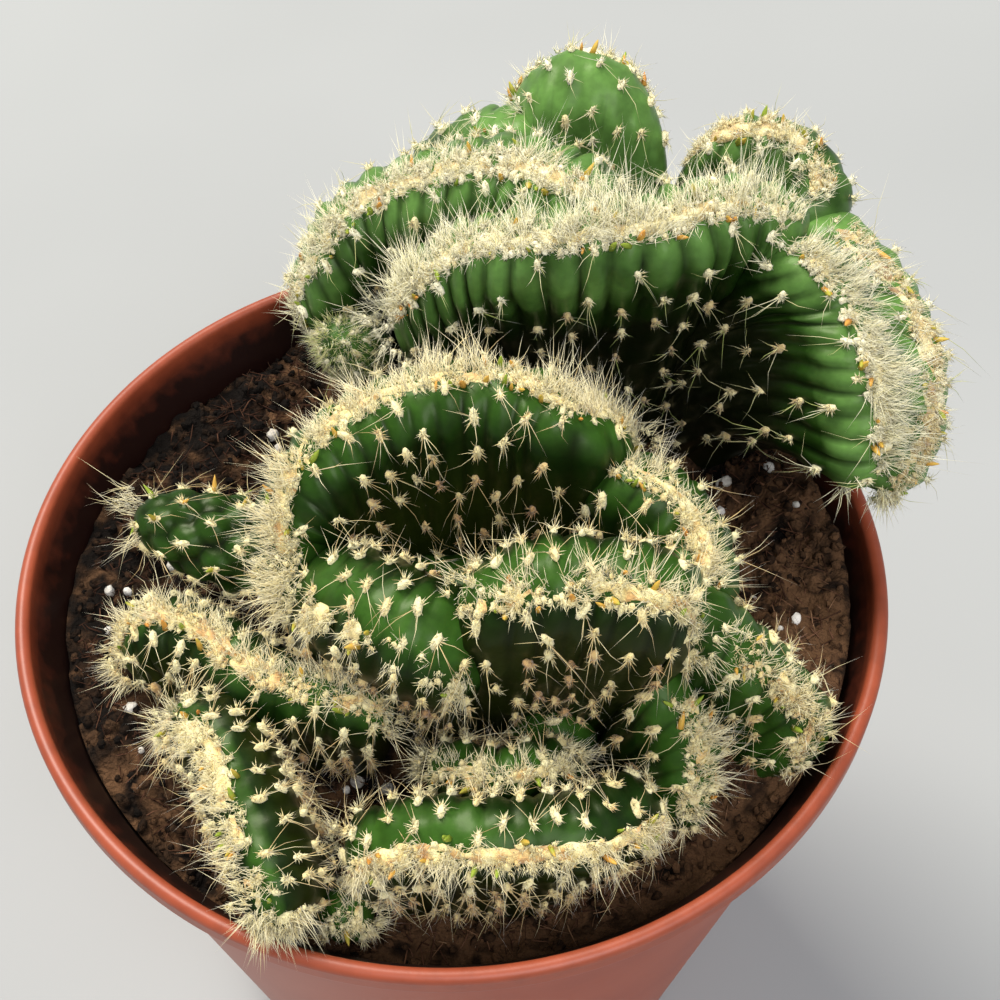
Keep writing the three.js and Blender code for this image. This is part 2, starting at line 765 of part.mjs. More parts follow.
function makeSoil() {
  const edge = wallRadius(SOIL_LEVEL) - WALL - GAP;
  const low = FLOOR + GAP;
  const lowRadius = wallRadius(low + 1) - WALL - GAP;
  const points = [0, 0, soilHeight(0, 0)];
  const faces = [];
  for (let i = 1; i <= SOIL_RINGS; i += 1) {
    for (let j = 0; j < SOIL_SIDES; j += 1) {
      const angle = 2 * Math.PI * (j + 0.5 * (i % 2)) / SOIL_SIDES;
      const radius = edge * i / SOIL_RINGS;
      const x = radius * Math.cos(angle);
      const y = radius * Math.sin(angle);
      points.push(x, y, i === SOIL_RINGS ? SOIL_LEVEL - 0.5 : soilHeight(x, y));
    }
  }
  const ring = (i, j) => 1 + (i - 1) * SOIL_SIDES + (j % SOIL_SIDES);
  for (let j = 0; j < SOIL_SIDES; j += 1) {
    faces.push(0, ring(1, j), ring(1, j + 1));
    for (let i = 1; i < SOIL_RINGS; i += 1) {
      const shifted = i % 2 === 1;
      const a = ring(i, j);
      const b = ring(i, j + 1);
      const c = ring(i + 1, j);
      const d = ring(i + 1, j + 1);
      if (shifted) {
        faces.push(a, c, d, a, d, b);
      } else {
        faces.push(a, c, b, b, c, d);
      }
    }
  }
  const start = points.length / 3;
  for (const [radius, z] of [[lowRadius, low + 1], [lowRadius - 1, low]]) {
    for (let j = 0; j < SOIL_SIDES; j += 1) {
      const angle = 2 * Math.PI * (j + 0.5 * (SOIL_RINGS % 2)) / SOIL_SIDES;
      points.push(radius * Math.cos(angle), radius * Math.sin(angle), z);
    }
  }
  const bottom = points.length / 3;
  points.push(0, 0, low);
  for (let j = 0; j < SOIL_SIDES; j += 1) {
    const next = (j + 1) % SOIL_SIDES;
    const rim = ring(SOIL_RINGS, j);
    const rimNext = ring(SOIL_RINGS, j + 1);
    faces.push(rim, start + j, start + next, rim, start + next, rimNext);
    const inner = start + SOIL_SIDES;
    faces.push(start + j, inner + j, inner + next, start + j, inner + next, start + next);
    faces.push(inner + j, bottom, inner + next);
  }
  const chance = random(77);
  const grains = [];
  while (grains.length < PERLITE_GRAINS) {
    const angle = 2 * Math.PI * chance();
    const radius = 42 * Math.sqrt(chance());
    const size = 0.8 + 0.8 * chance();
    const x = radius * Math.cos(angle);
    const y = radius * Math.sin(angle);
    const turn = 2 * Math.PI * chance();
    if (isFree(new THREE.Vector3(x, y, SOIL_LEVEL), null, 2.5)) {
      const grain = new THREE.IcosahedronGeometry(size, 0);
      grain.rotateX(turn);
      grain.rotateY(2 * turn);
      grain.translate(x, y, soilHeight(x, y) + 0.25 * size);
      grains.push(fromGeometry(grain));
    }
  }
  const soil = fromArrays(points, faces);
  const holes = Manifold.union(allPlans.map(footHole));
  return largest(Manifold.union([soil, ...grains]).subtract(holes));
}

const part = new THREE.Group();
part.name = 'potted_crested_cholla';

function add(name, body, colour, roughness) {
  const material = new THREE.MeshStandardMaterial({ color: colour, roughness, metalness: 0 });
  const mesh = new THREE.Mesh(toGeometry(body), material);
  mesh.name = name;
  part.add(mesh);
}

add('pot', makePot(), 0xb5573a, 0.5);
add('soil', makeSoil(), 0x3b2a20, 0.95);
add('rear_crest', rearBody, 0x2e6b32, 0.5);
add('front_crest', frontBody, 0x28622c, 0.5);

const rearNames = Object.keys(REAR);
const frontNames = Object.keys(FRONT).filter((name) => FRONT[name].wool !== null);
wool(rearPlans, 901).forEach((strip, i) => {
  add(`wool_${rearNames[i]}`, strip, 0xeedcb2, 0.9);
});
wool(frontPlans, 1301).forEach((strip, i) => {
  add(`wool_${frontNames[i]}`, strip, 0xeedcb2, 0.9);
});

export default part;
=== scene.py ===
# %% [markdown]
# # A crested jumping cholla in a nursery pot
# A crested cactus is a plant whose growing point has become a growing line.
# The stem spreads into folded fans, and the line along each fan's edge is
# packed with cream wool. This lesson builds the fans, wool, spines, soil and
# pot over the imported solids, which give every place and size.

# %% Load the solids
import math

import bmesh
import bpy
import numpy as np
from mathutils import Matrix, Vector


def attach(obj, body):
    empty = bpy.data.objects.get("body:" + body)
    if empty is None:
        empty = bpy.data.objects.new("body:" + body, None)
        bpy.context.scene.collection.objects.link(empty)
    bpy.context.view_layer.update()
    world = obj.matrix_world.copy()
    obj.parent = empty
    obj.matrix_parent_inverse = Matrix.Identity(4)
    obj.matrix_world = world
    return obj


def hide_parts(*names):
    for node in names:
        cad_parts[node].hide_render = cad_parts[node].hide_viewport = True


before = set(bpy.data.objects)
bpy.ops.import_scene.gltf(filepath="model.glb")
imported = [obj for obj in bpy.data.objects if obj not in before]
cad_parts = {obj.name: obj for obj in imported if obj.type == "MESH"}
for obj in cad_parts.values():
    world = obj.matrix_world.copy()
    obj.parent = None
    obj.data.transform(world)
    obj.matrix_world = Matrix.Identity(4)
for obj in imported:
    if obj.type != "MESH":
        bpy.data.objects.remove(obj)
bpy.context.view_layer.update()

# %% [markdown]
# Lengths in this file are millimetres, as a grower would measure the plant,
# and are turned to metres where a mesh is made. A shape is a small
# dictionary: points, faces, the finish of its faces, and two numbers for each
# point that the finishes read. "tone" is how light or high the spot is; on the
# skins it is painted shade, low in the grooves, and on the soil it also carries
# painted light toward the front right and painted shade behind. The second
# number runs from the young growing edge (0) to the old foot (1), and the skins
# darken along it with ageing and as painted shade.

# %% Shapes and pieces
MM = 0.001
SLANT = (0.3, 0.5, 0.8)


def unit(v):
    """Each vector divided by its own length."""
    return v / np.maximum(np.linalg.norm(v, axis=-1, keepdims=True), 1e-9)


def turns(count):
    """Even steps round a circle, in radians."""
    return 2 * np.pi * np.arange(count) / count


def around(across, over, angle):
    """Directions at an angle from across towards over: across * cos + over * sin."""
    return across * np.cos(angle)[..., None] + over * np.sin(angle)[..., None]


def square_to(way):
    """Two directions square to each given one: unit(way x slant), and way x that."""
    side = unit(np.cross(way, SLANT))
    return side, np.cross(way, side)


def shape(points, faces, finish=0, tone=0.5, age_and_shade=0.5):
    """Points (n, 3) in mm with arrays of faces, one array for each number of corners."""
    n = len(points)
    return {"points": points, "faces": faces, "finish": finish,
            "tone": np.broadcast_to(tone, n), "age_and_shade": np.broadcast_to(age_and_shade, n)}


def turned_out(points, faces):
    """The faces, all turned round if the volume that they close is negative.
    The volume is the sum over triangles of a . (b x c) / 6."""
    volume = 0.0
    for f in faces:
        for j in range(1, f.shape[1] - 1):
            a, b, c = points[f[:, 0]], points[f[:, j]], points[f[:, j + 1]]
            volume += (a * np.cross(b, c)).sum()
    return [f[:, ::-1] for f in faces] if volume < 0 else faces


def tube(n, m):
    """Numbers of the points in n loops of m, the same one step on, and the quads between."""
    index = np.arange(n * m).reshape(n, m)
    after = np.roll(index, -1, 1)
    quads = np.stack([index[:-1], index[1:], after[1:], after[:-1]], -1)
    return index, after, quads.reshape(-1, 4)


def closed_rings(rings, first, last):
    """A closed surface through loops of points (n, m, 3), with a point to close each end."""
    n, m = rings.shape[:2]
    index, after, quads = tube(n, m)
    ends = np.concatenate([np.stack([index[0], after[0], np.full(m, n * m)], -1),
                           np.stack([after[-1], index[-1], np.full(m, n * m + 1)], -1)])
    points = np.vstack([rings.reshape(-1, 3), first, last])
    return points, turned_out(points, [quads, ends])


def placed(name, data):
    """A new object in the scene."""
    made = bpy.data.objects.new(name, data)
    bpy.context.scene.collection.objects.link(made)
    return made


def make_piece(name, shapes, finishes, replaces=()):
    """One smooth mesh object from a list of shapes, riding on the pot's body."""
    points = np.concatenate([s["points"] for s in shapes])
    starts = np.cumsum([0] + [len(s["points"]) for s in shapes])
    faces = [(f + start, s["finish"]) for s, start in zip(shapes, starts) for f in s["faces"]]
    corners = np.concatenate([f.ravel() for f, _ in faces])
    counts = [len(f) for f, _ in faces]
    sizes = np.repeat([f.shape[1] for f, _ in faces], counts)
    index = np.repeat([finish for _, finish in faces], counts)
    mesh = bpy.data.meshes.new(name)
    mesh.vertices.add(len(points))
    mesh.loops.add(len(corners))
    mesh.polygons.add(len(sizes))
    for part, key, values, kind in (
            (mesh.vertices, "co", points.ravel() * MM, np.float32),
            (mesh.loops, "vertex_index", corners, np.int32),
            (mesh.polygons, "loop_start", np.cumsum(sizes) - sizes, np.int32),
            (mesh.polygons, "material_index", index, np.int32),
            (mesh.polygons, "use_smooth", np.ones(len(sizes)), bool)):
        part.foreach_set(key, values.astype(kind))
    for key in ("tone", "age_and_shade"):
        values = np.concatenate([s[key] for s in shapes]).astype(np.float32)
        mesh.attributes.new(key, "FLOAT", "POINT").data.foreach_set("value", values)
    mesh.update(calc_edges=True)
    mesh.validate()
    for finish in finishes:
        mesh.materials.append(finish)
    piece = placed(name, mesh)
    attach(piece, "root")
    if replaces:
        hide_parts(*replaces)
    print(f"{name}: {int((sizes - 2).sum())} triangles")
    return piece


# %% [markdown]
# Nothing on a plant repeats exactly, so lumps and tints come from noise. Value
# noise is a lattice of random heights with a smooth blend between them. The
# lattice pitch is the size of the lumps in millimetres.

# %% Lumpy noise
def smooth_step(low, high, x):
    """0 below low, 1 above high, and 3f^2 - 2f^3 between."""
    f = np.clip((x - low) / (high - low), 0, 1)
    return f * f * (3 - 2 * f)


def lumps(x, y, pitch, seed):
    """Random heights from -1 to 1 at lattice points, blended by smooth steps."""
    rows, columns = 61, 67
    table = np.random.default_rng(seed).random((rows, columns)) * 2 - 1
    u, v = np.asarray(x) / pitch, np.asarray(y) / pitch
    i, j = np.floor(u).astype(int), np.floor(v).astype(int)
    f, g = smooth_step(0, 1, u - i), smooth_step(0, 1, v - j)

    def across(j):
        return table[i % rows, j % columns] * (1 - f) + table[(i + 1) % rows, j % columns] * f

    return across(j) * (1 - g) + across(j + 1) * g


# %% [markdown]
# Each finish starts from what the real surface is. One function turns an
# sRGB hex colour to the linear values that shaders use, and one adds a node.
# Each helper hands back a node with the output that the next one reads.

# %% Finish helpers
BLACK, WHITE = "#000000", "#FFFFFF"


def linear(hex_colour):
    """An sRGB hex colour as linear red, green, blue and alpha."""
    parts = [int(hex_colour[k:k + 2], 16) / 255 for k in (1, 3, 5)]
    return [c / 12.92 if c <= 0.04045 else ((c + 0.055) / 1.055) ** 2.4 for c in parts] + [1.0]


def set_inputs(material, made, inputs):
    """Links each input to a (node, output) pair, or gives it a plain value."""
    for key, value in inputs.items():
        if isinstance(value, tuple):
            material.node_tree.links.new(value[0].outputs[value[1]], made.inputs[key])
        else:
            made.inputs[key].default_value = value


def node(material, kind, output, inputs=None, **properties):
    """Adds a shader node, and returns it with the output that others read."""
    made = material.node_tree.nodes.new(kind)
    for key, value in properties.items():
        setattr(made, key, value)
    set_inputs(material, made, inputs or {})
    return made, output


def noise(material, scale, detail):
    """Noise of scale waves a metre, held to the object."""
    place = node(material, "ShaderNodeTexCoord", "Object")
    return node(material, "ShaderNodeTexNoise", "Fac",
                {"Vector": place, "Scale": scale, "Detail": detail})


def from_mesh(material, key):
    """The tone or age that the mesh carries."""
    return node(material, "ShaderNodeAttribute", "Fac", attribute_name=key)


def varied(material, scale, detail, share, key):
    """share * noise + the tone or age of the mesh."""
    return node(material, "ShaderNodeMath", "Value", operation="MULTIPLY_ADD", inputs={
        0: noise(material, scale, detail), 1: share, 2: from_mesh(material, key)})


def ramp(material, source, stops):
    """A colour ramp over (place, hex colour) stops."""
    made, output = node(material, "ShaderNodeValToRGB", "Color", {"Fac": source})
    elements = made.color_ramp.elements
    while len(elements) < len(stops):
        elements.new(0.5)
    for element, (place, colour) in zip(elements, stops):
        element.position = place
        element.color = linear(colour)
    return made, output


def mix(material, factor, a, b, blend="MIX"):
    """Blends two colours by a factor. Inputs 6 and 7 and output 2 of the node are colours."""
    return node(material, "ShaderNodeMix", 2, {0: factor, 6: a, 7: b},
                data_type="RGBA", blend_type=blend)


def bump(material, height, strength, distance):
    """Grain as a bump, with its depth in metres."""
    return node(material, "ShaderNodeBump", "Normal",
                {"Height": height, "Strength": strength, "Distance": distance})


def new_finish(name):
    """A material made of nodes."""
    material = bpy.data.materials.new(name)
    material.use_nodes = True
    return material


def finished(material, colour, roughness, **inputs):
    """Sets the surface shader's inputs, with _ for each space in their names."""
    named = {key.replace("_", " "): value for key, value in inputs.items()}
    named.update({"Base Color": colour, "Roughness": roughness})
    set_inputs(material, material.node_tree.nodes["Principled BSDF"], named)
    return material


# %% [markdown]
# Cactus skin is a thick waxy cuticle over green flesh. It is glossy in soft
# streaks, paler where the young edge grows, and browner with ageing towards the
# foot, where it is also darkened as painted shade. The mesh carries the ribs,
# so the finish adds the colour, painted shade in the grooves, the fine grain of
# the wax at about a millimetre, and a soft coat.

# %% Waxy cactus skin
def waxy_skin(name, young, grown, old, painted_groove_shade):
    """Colour by ageing and painted shade towards the foot, with painted shade in the grooves by
    tone, mottled at 6 mm and 1.2 mm.
    """
    skin = new_finish(name)
    fine = noise(skin, 900.0, 2.0)
    stops = [(0.22, young), (0.5, grown), (1.0, old)]
    body = ramp(skin, varied(skin, 160.0, 3.0, 0.5, "age_and_shade"), stops)
    # Painted shade: low tone darkens the skin to the groove colour.
    groove_shade_mask = ramp(skin, from_mesh(skin, "tone"), [(0.1, BLACK), (0.8, WHITE)])
    shaded_grooves = mix(skin, groove_shade_mask, linear(painted_groove_shade), body)
    speck = ramp(skin, fine, [(0.35, "#D8D8D8"), (0.65, WHITE)])
    return finished(skin, mix(skin, 0.6, shaded_grooves, speck, "MULTIPLY"), 0.42,
                    Normal=bump(skin, fine, 0.25, 0.0002), Specular_IOR_Level=0.22,
                    Specular_Tint=linear("#D6E6A8"), Coat_Weight=0.14, Coat_Roughness=0.28)


skin_rear = waxy_skin("waxy skin, rear crest", "#648F45", "#1C3A0C", "#0F1906", "#061202")
# The front skin's young and grown greens are darker than the rear's: painted shade over the front
# crest.
front_skin_in_painted_shade = waxy_skin("waxy skin, front crest in painted shade", "#365D1D", "#102707", "#1D2606", "#071003")


# %% [markdown]
# Areole wool is a felt of dead hair cells. It is matt, cream where it is
# fresh and tan where it is old or damp. Hairs and spines are pale horn, with
# a sheen that makes them glow against dark flesh. Young leaves are short soft
# cones that turn from green to orange as they dry.

# %% Wool, hair and leaf finishes
def felt(name, stops, roughness, sheen, nap=0.0):
    """A matt finish whose colour follows tone, with a small random tint. The nap is how
    strongly fibres of 0.3 mm roughen it."""
    coat = new_finish(name)
    fluff = {"Normal": bump(coat, noise(coat, 3200.0, 2.0), nap, 0.0004)} if nap else {}
    return finished(coat, ramp(coat, varied(coat, 900.0, 3.0, 0.6, "tone"), stops), roughness,
                    Sheen_Weight=sheen, Specular_IOR_Level=0.3, **fluff)


wool_rear = felt("fresh areole wool", [
    (0.1, "#A4855F"), (0.45, "#DEC68A"), (0.7, "#F6EAB4"), (1.0, "#FFF9D8")], 0.9, 0.4, 0.8)
wool_front = felt("grown areole wool", [
    (0.1, "#A57A55"), (0.42, "#DCB376"), (0.64, "#F3DF9C"), (1.0, "#FCF2BE")], 0.9, 0.4, 0.8)
hair_rear = felt("white hair", [
    (0.1, "#A9B85E"), (0.4, "#D6CF92"), (0.7, "#EEE7B4"), (1.0, "#FDF8D6")], 0.55, 0.5)
hair_front = felt("horn-pale spine and hair", [
    (0.1, "#A08A52"), (0.4, "#DBBC80"), (0.65, "#EFDEA2"), (0.95, "#FDF3C8")], 0.55, 0.5)
leaf = felt("young leaf cone", [(0.35, "#93A83A"), (0.65, "#DFB150"), (1.0, "#CF8440")], 0.5, 0.0)


# %% [markdown]
# A fan is a sheet of flesh between a foot line in the soil and its crest
# line, with a round lip. The tables repeat those of the solids: crest line,
# foot line, sideways bow, radius of the lip, half thickness at mid height and
# at the foot, and the angle of the lip where the wool runs. The rest is for
# the finer surface: the spacing of ribs and of areoles down a rib, how deep
# the ribs are, how many hairs stand on each millimetre of the edge, how long
# they are, whether they lean to the front (-) or the back (+), half the width
# of the felt, how far it is parted into clumps, the tufts at both ends, how
# far from the crest the flesh turns old and dark in painted shade, and how
# much darker the wool is.

# %% Fans of the two crests
USUAL = {"rib": 3.4, "row": 4.4, "depth": 0.3, "fur": 30, "length": 3.4, "lean": 0.3,
         "spread": 1.5, "clump": 0.0, "ends": (16, 16), "ripe": 24, "dull": 0.0}


def fan(top, foot, bow, lip, waist, root, wool, **finer):
    """The table of one fan, with the usual value of what it doesn't give."""
    return {"top": np.array(top, float), "foot": np.array(foot, float), "bow": np.array(bow),
            "lip": lip, "waist": waist, "root": root, "wool": wool, **USUAL, **finer}


REAR = {
    "wall": fan(
        [(-8, 23, 110), (-4, 20, 119), (2, 17, 127), (9, 14, 131), (16, 13, 133), (23, 13, 134),
         (30, 16, 134), (36, 17, 132), (40, 15, 130)],
        [(0, 33), (10, 33), (20, 32), (29, 29)], (0, 3, 0), 5, 5, 4.5, -5,
        rib=3.5, row=7, depth=1.0, fur=54, length=4.2, lean=0.8, spread=1.6, ends=(30, 16),
        ripe=34),
    "lobe": fan(
        [(38, 13, 131), (41, 10, 129), (43.5, 7, 127), (45, 3, 125), (46, -0.5, 122),
         (47.2, -4, 117), (48, -6, 110.5)],
        [(25, 31), (28, 30), (31, 27)], (-3.5, 5, 12), 4.5, 6.5, 3, 0,
        rib=2.7, row=6.5, depth=0.5, fur=56, length=4, lean=0.9, spread=1.4, ends=(10, 60),
        ripe=27),
    "outer": fan(
        [(48, -6, 110), (50.5, -5.5, 113), (53, -2, 116), (54, 2.5, 118), (54, 7, 120),
         (53, 12, 121), (51, 17, 122), (48, 21, 123), (45, 25, 125)],
        [(28, 26), (32, 29), (28, 33)], (-3, 5, 13), 4, 4.5, 3, 25,
        fur=22, length=2.4, lean=-0.2, ends=(40, 10), ripe=40, dull=0.3),
    "loop": fan(
        [(45, 24, 124), (44, 31, 127), (40, 36, 128), (34, 38, 127), (29, 39, 122)],
        [(31, 25), (28, 30), (22, 34)], (-1, -1, 2), 4.5, 4, 4, 25,
        fur=22, length=2.4, lean=0.1, spread=1.6, ripe=40, dull=0.2),
    "left": fan(
        [(-20, 33, 98), (-20, 32, 106), (-17, 31, 113), (-13, 32, 119), (-8, 32, 123),
         (-2, 30, 127), (3, 28, 130), (8, 26, 132), (13, 22, 133), (19, 18, 133)],
        [(-11, 34), (-4, 36), (5, 36), (13, 34)], (0, 3, 0), 6, 5, 4.5, -10,
        rib=3.6, row=5.5, depth=0.6, fur=36, length=3, lean=0.4, spread=1.7, ends=(0, 16),
        ripe=27),
    "upper": fan(
        [(-7, 42, 111), (-5, 42, 117), (-1, 42, 122), (4, 40, 126), (9, 38, 127), (14, 36, 125)],
        [(-2, 39), (6, 40), (14, 37)], (0, 2, 0), 6, 5, 4.5, -45,
        rib=3.6, row=5, depth=0.4, fur=56, length=3.2, lean=-0.4, spread=2.2, ends=(10, 40),
        ripe=32),
    "dome": fan(
        [(7, 42, 121), (9, 43, 128), (13, 43, 132), (19, 42, 132), (24, 41, 128), (27, 41, 121)],
        [(8, 39), (14, 38), (21, 36)], (0, 0, 0), 5.5, 5.5, 4.5, 40,
        row=4.6, depth=0.14, fur=10, length=2.2, spread=1.1, clump=0.8, ends=(30, 6), ripe=60),
}

FRONT = {
    "arc": fan(
        [(-15, -12, 102), (-18, -9, 107), (-18, -6, 111), (-16, -3, 114), (-12, 0, 117),
         (-5, 3, 119), (2, 4, 120), (9, 3, 120), (14, 1, 118), (19, 3, 114), (22, 4, 108)],
        [(-11, -9), (-8, -4), (0, -2), (9, -2), (13, -1)], (0, 2, 0), 5, 5.5, 5, 0,
        row=4.8, depth=0.4, fur=46, length=3.8, lean=0.7, spread=1.3, ends=(36, 14), ripe=22),
    "wing": fan(
        [(17, 1, 111), (21, -2, 112), (25, -5, 112), (28, -8, 110), (29, -13, 109),
         (29, -17, 107)],
        [(13, -4), (17, -8), (19, -14)], (0, 0, 0), 4.5, 5, 5, -15,
        fur=38, length=3.2, lean=0.6, spread=1.3),
    "saddle": fan(
        [(-18.5, -10.5, 104), (-14, -14, 108), (-9, -18, 111), (-4, -21.5, 111), (1, -23, 109),
         (5, -24, 105)],
        [(-9, -13), (-3, -15), (4, -15)], (0, 3, 0), 6.5, 6, 5, -35,
        rib=3.2, row=3.5, fur=20, lean=-0.4, clump=0.85, ends=(8, 10), ripe=15),
    "ridge": fan(
        [(1, -18, 113), (6, -19, 115), (11, -19, 117), (16, -19, 117), (21, -20, 117),
         (25, -20, 115), (28, -21, 110)],
        [(0, -12), (10, -11), (20, -14)], (0, -3, 2), 6, 6, 5, -25,
        rib=3.2, row=3.9, depth=0.45, fur=26, lean=0.2, clump=0.25, ends=(8, 40), ripe=11),
    "tail": fan(
        [(26, -19, 112), (30, -20, 108), (34, -21, 104), (38, -22, 100), (41, -25, 96),
         (40, -28, 89)],
        [(18, -17), (25, -20), (32, -24)], (0, 1, 0), 4, 4.5, 4.5, -30,
        row=3.6, fur=34, length=3.2, lean=0.2, clump=0.3, ripe=50, dull=0.15),
    "bowl": fan(
        [(21, -22, 103), (24, -24, 102), (27, -28, 98), (27, -32, 93), (25, -34, 90)],
        [(16, -20), (19, -24), (18, -29)], (0, 0, 0), 3.5, 4.5, 4.5, 0,
        fur=34, length=2.8, lean=0.4),
    "inner": fan(
        [(-3, -28, 92), (1, -30, 96), (5, -32, 97), (9, -31, 97), (14, -28, 94)],
        [(1, -25), (6, -24), (11, -23)], (0, 0, 0), 3, 4, 4, -15,
        row=3.2, length=2.6, spread=1.1, clump=0.3),
    "sill": fan(
        [(-12, -38, 89), (-9, -39, 95), (-3, -39, 99), (4, -40, 100), (10, -40, 100),
         (16, -39, 99), (20, -36, 97), (24, -33, 93)],
        [(-7, -35), (4, -36), (16, -31)], (0, 1, 0), 4.5, 4.5, 4.5, -30,
        rib=3, row=3.5, fur=28, length=3.2, lean=-0.2, spread=1.15, ends=(44, 30), ripe=11,
        dull=0.1),
    "lower": fan(
        [(-32, -19, 89), (-30, -22, 94), (-26, -26, 98), (-23, -31, 99), (-21, -36, 100),
         (-19, -41, 100), (-18, -45, 99), (-17, -49, 97)],
        [(-28, -18), (-21, -27), (-15, -37)], (0, 0, 0), 4.5, 4.5, 4.5, -20,
        rib=3, row=3.2, fur=24, length=3.2, lean=-0.3, clump=0.6, ends=(36, 50), ripe=5),
    "valley": fan(
        [(-13, -10, 102), (-4, -8, 100), (6, -8, 100), (16, -9, 100), (23, -12, 101)],
        [(-8, -11), (4, -9), (16, -12)], (0, 0, 0), 5, 6, 5, None),
    "stock": fan(
        [(12, -14, 92), (12, -20, 91), (11, -26, 90), (9, -32, 90), (6, -37, 90)],
        [(12, -14), (11, -25), (6, -36)], (0, 0, 0), 5, 5, 5, None),
    "knob": fan(
        [(-15, -43, 85), (-12, -44, 88), (-8, -43, 86)],
        [(-15, -37), (-9, -37)], (0, 0, 0), 2.5, 3, 3, 0,
        fur=24, length=2.2, lean=-0.3, clump=0.3),
    "side": fan(
        [(-41, -11, 87), (-38, -9, 92), (-33, -10, 95), (-28, -13, 96), (-23, -18, 97),
         (-18, -21, 98), (-12, -23, 99), (-6, -25, 97)],
        [(-32, -12), (-20, -17), (-8, -18)], (0, 1, 0), 4.5, 5, 4.5, 0,
        row=3.8, fur=40, length=3.2, lean=0.1, clump=0.3, ends=(60, 10), ripe=12, dull=0.15),
}
FANS = {**REAR, **FRONT}
FOOT_Z, SOIL_LEVEL, SOIL_GAP = 75, 80, 0.3
POT_HEIGHT, RIM_RADIUS, RIM_INNER, RIM_DROP = 92, 52.5, 50.7, 3.4
BASE_RADIUS, SHOULDER_RADIUS, WALL, FLOOR = 38, 50.4, 1.6, 2


def wall_radius(z):
    """Outer radius of the tapered pot wall at height z."""
    return BASE_RADIUS + (SHOULDER_RADIUS - BASE_RADIUS) * z / (POT_HEIGHT - RIM_DROP)


def banked(x, y):
    """How far the soil is banked up: 4.5 mm along the wall except in front, and 4.2 mm more
    on the right."""
    ring = smooth_step(26, 44, np.hypot(x, y)) * smooth_step(-38, -22, y)
    return 4.5 * ring + 4.2 * smooth_step(15, 44, 0.95 * x - 0.3 * y)


def in_pot_wall(tips, clear=0.6):
    """True where a tip below the rim is farther out than the inside of the wall."""
    radius = np.hypot(tips[:, 0], tips[:, 1])
    return (tips[:, 2] < POT_HEIGHT + clear) & (radius > wall_radius(tips[:, 2]) - WALL - clear)


print("fans:", len(REAR), "in the rear crest,", len(FRONT), "in the front crest")


# %% [markdown]
# The skin of a fan is a function of two numbers: how far along the crest
# line, and how far over the section from the front foot, over the lip, to the
# back foot. The section's middle line is a quadratic curve from the foot to
# the centre of the lip. Towards both ends the whole section shrinks as a
# circle does, which rounds the ends off.

# %% Section of a fan
SKIN_STEP, LEVEL_STEP, LIP_STEP = 0.5, 1.3, 1.6
CURVE_POINTS, END_SECTIONS = 401, 7


def smooth_curve(points, share):
    """Catmull-Rom curve through the points, share from 0 to 1, with the ends reflected."""
    ends = np.vstack([2 * points[0] - points[1], points, 2 * points[-1] - points[-2]])
    last = len(points) - 1
    s = np.clip(share, 0, 1) * last
    k = np.minimum(s.astype(int), last - 1)
    f = (s - k)[:, None]
    a, b, c, d = (ends[k + i] for i in range(4))
    return 0.5 * (2 * b + (c - a) * f + (2 * a - 5 * b + 4 * c - d) * f ** 2
                  + (3 * b - a - 3 * c + d) * f ** 3)


def end_ease(f, runs, total):
    """The size of the section: sin of the angle round an end, over a lip's radius."""
    near = np.clip(np.minimum(runs, total - runs) / f["lip"], 0, 1)
    return np.sqrt(1 - (1 - near) ** 2)


def spine_of(f, step):
    """Frames along a crest line: the foot, middle and centre of the lip, and the way up."""
    share = np.linspace(0, 1, CURVE_POINTS)
    strides = np.linalg.norm(np.diff(smooth_curve(f["top"], share), axis=0), axis=1)
    run = np.append(0, np.cumsum(strides))
    total, lip = run[-1], f["lip"]
    end = lip * (1 - np.cos(np.linspace(0.03, np.pi / 2, END_SECTIONS + 1)[:-1]))
    count = max(3, round((total - 2 * lip) / step))
    runs = np.concatenate([end, np.linspace(lip, total - lip, count), (total - end)[::-1]])
    top = smooth_curve(f["top"], np.interp(runs, run, share))
    foot = np.column_stack([smooth_curve(f["foot"], runs / total), np.full(len(runs), FOOT_Z)])
    middle = (foot + top) / 2 + f["bow"]
    rise = unit(top - middle)
    return {"runs": runs, "total": total, "foot": foot, "middle": middle, "rise": rise,
            "lip": top - rise * lip, "ease": end_ease(f, runs, total)}


def up_section(a, b, c, h):
    """Quadratic curve from foot to lip: (1-h)^2 a + 2h(1-h) b + h^2 c."""
    return a * (1 - h) ** 2 + b * (2 * h * (1 - h)) + c * h ** 2


def centre(line, h):
    """Points on the middle line of each section."""
    return up_section(*(line[key][:, None] for key in ("foot", "middle", "lip")), h[:, None])


def half_thickness(f, h):
    """Half the thickness of the sheet, from root over waist to lip."""
    return up_section(f["root"], f["waist"], f["lip"], h)


def side_of(line, h):
    """Square to the sheet, towards the front: along the line x up the section."""
    mid, at = centre(line, h), np.arange(len(line["runs"]))
    along = mid[np.minimum(at + 1, at[-1])] - mid[np.maximum(at - 1, 0)]
    climb = ((line["middle"] - line["foot"])[:, None] * (1 - h)[:, None]
             + (line["lip"] - line["middle"])[:, None] * h[:, None])
    return unit(np.cross(along, climb))


